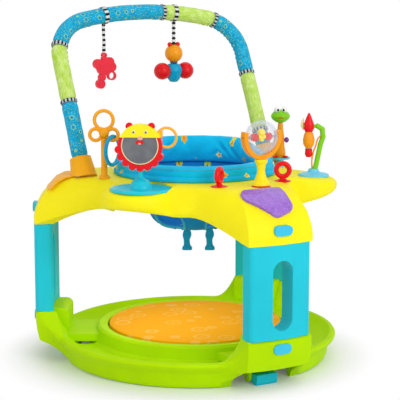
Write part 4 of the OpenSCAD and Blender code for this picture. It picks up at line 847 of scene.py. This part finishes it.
steps = 144
profile = []
for i in range(len(BUCKET) - 1):
    for k in range(3):
        t = k / 3
        profile.append((BUCKET[i][0] * (1 - t) + BUCKET[i + 1][0] * t, BUCKET[i][1] * (1 - t) + BUCKET[i + 1][1] * t))
profile = profile[1:] + [BUCKET[-1], (1.0, 0.0)]
bm = bmesh.new()
grid = [[bm.verts.new(bucket_point(360 * k / steps, s, d)) for s, d in profile] for k in range(steps)]
pole = bm.verts.new(bucket_point(0, 0, 1.0))
for k in range(steps):
    n = (k + 1) % steps
    bm.faces.new((pole, grid[k][0], grid[n][0]))
    for i in range(len(profile) - 1):
        bm.faces.new((grid[k][i], grid[k][i + 1], grid[n][i + 1], grid[n][i]))
gone = [q for q in bm.faces if leg_hole(q.calc_center_median()) > 0.001]
bmesh.ops.delete(bm, geom=gone, context="FACES")
# the cut edges are drawn to the openings' round line
for e in bm.edges:
    if len(e.link_faces) == 1:
        for vv in e.verts:
            d = leg_hole(vv.co)
            if -0.006 < d < 0.006:
                for s in BOTH:
                    axis = leg_axis(s)
                    w = vv.co - LEG_BASE
                    along = w.dot(axis)
                    side = w - axis * along
                    if along > LEG_NEAR and abs(side.length - LEG_HOLE_R) < 0.012:
                        vv.co = LEG_BASE + axis * along + side.normalized() * LEG_HOLE_R
bmesh.ops.recalc_face_normals(bm, faces=bm.faces)
me = bpy.data.meshes.new("seat_bucket_cloth")
uvl = bm.loops.layers.uv.new("UVMap")
for q in bm.faces:
    for lp in q.loops:
        p = lp.vert.co
        lp[uvl].uv = (angle_of(p) / 360 * 0.8, p.z)
bm.to_mesh(me)
bm.free()
me.materials.append(mats["seat_cloth"])
me.polygons.foreach_set("use_smooth", [True] * len(me.polygons))
bucket = bpy.data.objects.new("seat_bucket_cloth", me)
scene.collection.objects.link(bucket)
sol = bucket.modifiers.new("thick", "SOLIDIFY")
sol.thickness = 0.0032
sol.offset = 0
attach(bucket, "seat")
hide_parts("seat_bucket")



# Hems round the leg openings, each point found where its line along the opening's axis meets the cloth
def wall_r(a, d):
    """Radius of the bucket's cloth at an angle and a share of the depth: none below it, far above it."""
    if d >= 1:
        return 0
    for (s0, d0), (s1, d1) in zip(BUCKET, BUCKET[1:]):
        if d1 <= d <= d0:
            ref = bucket_point(a, s0 + (s1 - s0) * (d - d0) / (d1 - d0), d)
            return hypot(ref.x - FX, ref.y)
    return 10


hems = []
for s in BOTH:
    axis = leg_axis(s)
    e1 = axis.cross(Vector((0, 0, 1))).normalized()
    e2 = axis.cross(e1)
    line = []
    for k in range(64):
        q = 2 * pi * k / 64
        side = (e1 * cos(q) + e2 * sin(q)) * LEG_HOLE_R
        lo, hi = LEG_NEAR, 0.2
        for _ in range(26):
            mid = (lo + hi) / 2
            p = LEG_BASE + axis * mid + side
            if hypot(p.x - FX, p.y) > wall_r(angle_of(p), (DECK + CLOTH - p.z) / BUCKET_DEEP):
                hi = mid
            else:
                lo = mid
        line.append(LEG_BASE + axis * lo + side)
    hems.append(tube(line, 0.0032, 10, closed=True))
trim("seat_leg_hems", hems, "piping", "seat")

# Strap tabs under the bucket: share of the length, half width, half thickness
TAB_ROWS = (
    (0.0, 0.0072, 0.0014), (0.10, 0.0076, 0.0018), (0.22, 0.0102, 0.0036), (0.36, 0.0104, 0.0038),
    (0.46, 0.0078, 0.0022), (0.52, 0.0068, 0.0018), (0.68, 0.0072, 0.0018), (0.78, 0.0074, 0.002),
    (0.83, 0.0116, 0.0038), (0.95, 0.0118, 0.0038), (1.0, 0.0112, 0.0032),
)
TAB_TOP, TAB_LOW = DECK - BUCKET_DEEP + 0.0084, DECK - BUCKET_DEEP - 0.0436


def tab(x, y):
    rings = []
    for t, w, d in TAB_ROWS:
        z = TAB_TOP + (TAB_LOW - TAB_TOP) * t
        ring = []
        for k in range(16):
            q = 2 * pi * k / 16
            cx = abs(cos(q)) ** 0.35 * (1 if cos(q) >= 0 else -1)
            cy = abs(sin(q)) ** 0.6 * (1 if sin(q) >= 0 else -1)
            ring.append(Vector((FX + x + w * cx + 0.0006 * sin(9 * t), y + d * cy, z)))
        rings.append(ring)
    return loft(rings, caps=True)


o = trim("seat_tabs_webbing", [tab(-0.019, -0.060), tab(0.033, -0.060)], "tab_cloth", "seat")
s = o.modifiers.new("smooth", "SUBSURF")
s.levels = s.render_levels = 1
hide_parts("seat_tabs")


# Ribbon that carries the teether: a loop round the sleeve and a checked strap
def crown_point(share):
    x = CROWN_R * share
    h = ARCH_H - CROWN_R + sqrt(CROWN_R ** 2 - x * x)
    return ORIGIN + SD * x + UP * h


def ribbon_loop(share, width=0.010, r=0.0195, t=0.0014):
    p = crown_point(share)
    tilt = asin(share)
    along = SD * cos(tilt) - UP * sin(tilt)
    out = UP * cos(tilt) + SD * sin(tilt)
    rings = []
    for k in range(48):
        q = 2 * pi * k / 48
        d = out * cos(q) + ACROSS * sin(q)
        corners = ((r, -width / 2), (r + t, -width / 2), (r + t, width / 2), (r, width / 2))
        rings.append([p + d * rr + along * w for rr, w in corners])
    us = [2 * pi * r * k / 48 for k in range(49)]
    return loft(rings, us, [0, 0.001, 0.011, 0.012, 0.022], wrap_u=True)


def strap(share, length):
    p = crown_point(share)
    rings, us = [], []
    for k in range(25):
        t = k / 24
        z = -0.0191 - length * t
        sway = 0.0012 * sin(t * 7)
        wid = 0.0046 - 0.0008 * sin(pi * t)
        c = p + Vector((0, 0, z)) + ND * sway
        rings.append([c + SD * (wid * a) + ND * (0.0008 * b) for a, b in ((-1, -1), (1, -1), (1, 1), (-1, 1))])
        us.append(length * t)
    us.append(length)
    return loft(rings, us, [0, 0.009, 0.0106, 0.0196, 0.0212], caps=True)


TEETHER_SHARE, TEETHER_STRAP, BUG_SHARE = -0.142, 0.069, 0.099
ribbon = [ribbon_loop(TEETHER_SHARE), strap(TEETHER_SHARE, TEETHER_STRAP)]
o = trim("teether_ribbon", ribbon, "strap_black", "teether_swinger", smooth=False)
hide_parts("teether_strap")


# Small details on the toys
def blob(center, size, rot=None, seg=24):
    """An ellipsoid's points and faces."""
    rings = []
    rows = seg // 2
    for i in range(1, rows):
        t = pi * i / rows
        ring = []
        for j in range(seg):
            q = 2 * pi * j / seg
            p = Vector((size[0] * sin(t) * cos(q), size[1] * sin(t) * sin(q), size[2] * cos(t)))
            ring.append(Vector(center) + (rot @ p if rot else p))
        rings.append(ring)
    return loft(rings, caps=True)


def spot(base, az, x, y, z):
    """A point in a toy's own frame: x forward along az, y to its left, z up."""
    a = radians(az)
    return base + Vector((cos(a) * x - sin(a) * y, sin(a) * x + cos(a) * y, z))


def turn(az):
    return Matrix.Rotation(radians(az), 3, "Z")


# Beads and ribbon of the bug's chain
BUG = crown_point(BUG_SHARE)
BEAD, BEAD_Z, BEAD_STEP = (0.0052, 0.0052, 0.0036), -0.0245, 0.0062
NECK_R, NECK_Z = 0.0082, -0.1209
beads = {"black": [], "white": []}
for k in range(9):
    bead = blob(BUG + Vector((0, 0, BEAD_Z - BEAD_STEP * k)), BEAD, seg=18)
    beads["white" if k % 2 else "black"].append(bead)
string = tube([BUG + Vector((0, 0, z)) for z in (-0.0192, -0.05, -0.0815)], 0.0015, 10)
o = trim("bug_ribbon", [ribbon_loop(BUG_SHARE), string], "strap_black", "bug")
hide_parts("bug_chain")
for key in beads:
    o = trim("bug_beads_" + key, beads[key], "toy_" + key, "bug")
    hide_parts("bug_chain")
turns = [2 * pi * k / 32 for k in range(32)]
neck = [BUG + Vector((NECK_R * cos(q), NECK_R * sin(q), NECK_Z)) for q in turns]
trim("bug_neck", [tube(neck, 0.0018, 10, closed=True)], "toy_slate", "bug")

# Faces: the mirror's eyes, nose and pale bezel, then the frog's eyes, mouth and feet
MIRROR, MIRROR_AZ = polar(*MIRROR_AT, POD_SEAT_Z), -95
head_z = MIRROR_Z + 0.048 * 0.37


def on_mirror(x, y, z, size):
    return blob(spot(MIRROR, MIRROR_AZ, x, y, z), size, turn(MIRROR_AZ))


trim("mirror_eyes", [on_mirror(0.0106, s * 0.0134, head_z + 0.0124, (0.0022, 0.0034, 0.0036)) for s in BOTH],
     "toy_white", "mirror")
trim("mirror_pupils", [on_mirror(0.0119, s * 0.0134, head_z + 0.0120, (0.0015, 0.0024, 0.0026)) for s in BOTH],
     "toy_slate", "mirror")
nose = [on_mirror(0.0112, 0.0006, head_z - 0.0012, (0.003, 0.006, 0.0045)),
        on_mirror(0.0141, 0.0, MIRROR_Z + 0.0052, (0.0011, 0.003, 0.0022))]
trim("mirror_nose", nose, "toy_pink", "mirror")
BEZEL_R = 0.0394
bezel = []
for deg in range(-206, 27, 4):
    q = radians(deg)
    bezel.append(spot(MIRROR, MIRROR_AZ, 0.0112, BEZEL_R * cos(q), MIRROR_Z + BEZEL_R * sin(q)))
trim("mirror_bezel", [tube(bezel, 0.0011, 8)], "toy_pale", "mirror")

FROG, FROG_AZ = polar(36, 0.254, 0.397), -90
FROG_R, MOUTH_R, FROG_NECK = 0.021, 0.0234, 0.1336
PUPIL, FOOT = (0.0014, 0.0026, 0.0034), (0.0092, 0.0062, 0.0027)
frog_head = FROG_NECK + FROG_R * 0.72
eye_x, eye_y, eye_z = FROG_R * 0.45, FROG_R * 0.42, frog_head + FROG_R * 0.78


def on_frog(x, y, z, size, az):
    return blob(spot(FROG, FROG_AZ, x, y, z), size, turn(az))


pupils, feet = [], []
for s in BOTH:
    pupils.append(on_frog(eye_x + 0.0068, s * (eye_y - 0.0022), eye_z - 0.0002, PUPIL, FROG_AZ - s * 18))
    feet.append(on_frog(0.0125, s * 0.0125, 0.0518, FOOT, FROG_AZ + s * 28))
trim("frog_pupils", pupils, "toy_black", "frog")
smile = []
for deg in range(-15, 16, 3):
    q = radians(deg)
    droop = 0.0012 + 0.006 * (1 - cos(q * 3.2))
    smile.append(spot(FROG, FROG_AZ, MOUTH_R * cos(q), MOUTH_R * sin(q), frog_head - droop))
trim("frog_mouth", [tube(smile, lambda t: 0.0006 + 0.0007 * sin(pi * t), 8)], "toy_red", "frog")
trim("frog_feet", feet, "toy_red", "frog")

# Stalk beside the hook's stem, and a pale leaf on the toy that hangs from it
HOOK = polar(0, 0.275, POD_SEAT_Z)
# its line beside the stem, in millimetres out from the foot's middle and up
STALK = ((-3, 15), (-4, 24), (-4.5, 36), (-3, 48), (0, 60), (4.2, 71), (6.4, 80), (9, 88), (15, 94))
stalk = [HOOK + Vector((x / 1000, 0, z / 1000)) for x, z in STALK]
trim("hook_stalk", [tube(stalk, 0.0019, 12)], "toy_orange", "frame")
LEAF_AT, LEAF_H, LEAF_W, LEAF_HALF = HOOK + Vector((-0.0248, -0.004, 0.107)), 0.030, 0.0066, 0.0009
LEAF_SIDE = Vector((cos(0.9), sin(0.9), 0))
rings = []
for k in range(13):
    t = k / 12
    w = LEAF_W * sin(pi * t) ** 0.8 + 0.0004
    c = LEAF_AT + Vector((-0.003 * sin(pi * t), 0, LEAF_H * t))
    front, back = c - Vector((0, LEAF_HALF, 0)), c + Vector((0, LEAF_HALF, 0))
    rings.append([front - LEAF_SIDE * w, front + LEAF_SIDE * w, back + LEAF_SIDE * w, back - LEAF_SIDE * w])
trim("hook_leaf", [loft(rings, caps=True)], "toy_pale", "hook_swinger")


# Floor, light and background
def direct_rays(tree):
    """One where the camera sees a surface straight, mirrored or through clear plastic, else none."""
    path = tree.nodes.new("ShaderNodeLightPath")
    out = path.outputs["Is Camera Ray"]
    for kind in ("Is Glossy Ray", "Is Transmission Ray"):
        most = tree.nodes.new("ShaderNodeMath")
        most.operation = "MAXIMUM"
        tree.links.new(out, most.inputs[0])
        tree.links.new(path.outputs[kind], most.inputs[1])
        out = most.outputs[0]
    return out


bm = bmesh.new()
bmesh.ops.create_grid(bm, x_segments=1, y_segments=1, size=12)
me = bpy.data.meshes.new("floor")
bm.to_mesh(me)
bm.free()
floor = bpy.data.objects.new("floor", me)
scene.collection.objects.link(floor)
m = Nodes("floor_white")
m.put(Base_Color=(0.9, 0.9, 0.9, 1), Roughness=0.6)
# The floor shows its shadow near the object and fades to plain white further out
away = m.add("ShaderNodeVectorMath", operation="LENGTH")
m.join(m.place("Object"), away.inputs[0])
fade = m.ramp(away.outputs["Value"], [(0.32, (0.1, 0.1, 0.1, 1)), (0.46, (1, 1, 1, 1))], "EASE")
mixed = m.add("ShaderNodeMixShader")
m.join(m.math("MULTIPLY", direct_rays(m.tree), fade), mixed.inputs["Fac"])
m.join(m.bsdf.outputs[0], mixed.inputs[1])
m.join(m.add("ShaderNodeEmission").outputs[0], mixed.inputs[2])
m.join(mixed.outputs[0], m.tree.nodes["Material Output"].inputs["Surface"])
me.materials.append(m.mat)

world = bpy.data.worlds.new("studio")
scene.world = world
world.use_nodes = True
wt = world.node_tree
soft_light, white = wt.nodes["Background"], wt.nodes.new("ShaderNodeBackground")
for ground, strength in ((soft_light, 0.58), (white, 1)):
    ground.inputs["Color"].default_value = (1, 1, 1, 1)
    ground.inputs["Strength"].default_value = strength
mixed = wt.nodes.new("ShaderNodeMixShader")
wt.links.new(direct_rays(wt), mixed.inputs["Fac"])
wt.links.new(soft_light.outputs[0], mixed.inputs[1])
wt.links.new(white.outputs[0], mixed.inputs[2])
wt.links.new(mixed.outputs[0], wt.nodes["World Output"].inputs["Surface"])


def area(name, place, aim, size, power):
    l = bpy.data.lights.new(name, "AREA")
    l.shape = "RECTANGLE"
    l.size, l.size_y = size
    l.energy = power
    o = bpy.data.objects.new(name, l)
    o.location = place
    o.rotation_euler = (Vector(aim) - Vector(place)).to_track_quat("-Z", "Y").to_euler()
    o.visible_camera = False
    scene.collection.objects.link(o)


area("key", (1.9, -2.4, 1.7), (0, 0, 0.25), (2.0, 2.0), 41)
area("fill", (-2.2, -2.0, 1.2), (0, 0, 0.25), (1.8, 1.8), 13)
area("top", (0.2, 0.4, 2.6), (0, 0, 0.3), (2.4, 2.4), 11)
area("under", (FX - 0.07, -0.04, 0.25), (FX - 0.07, -0.04, 0), (0.3, 0.34), 0.36)
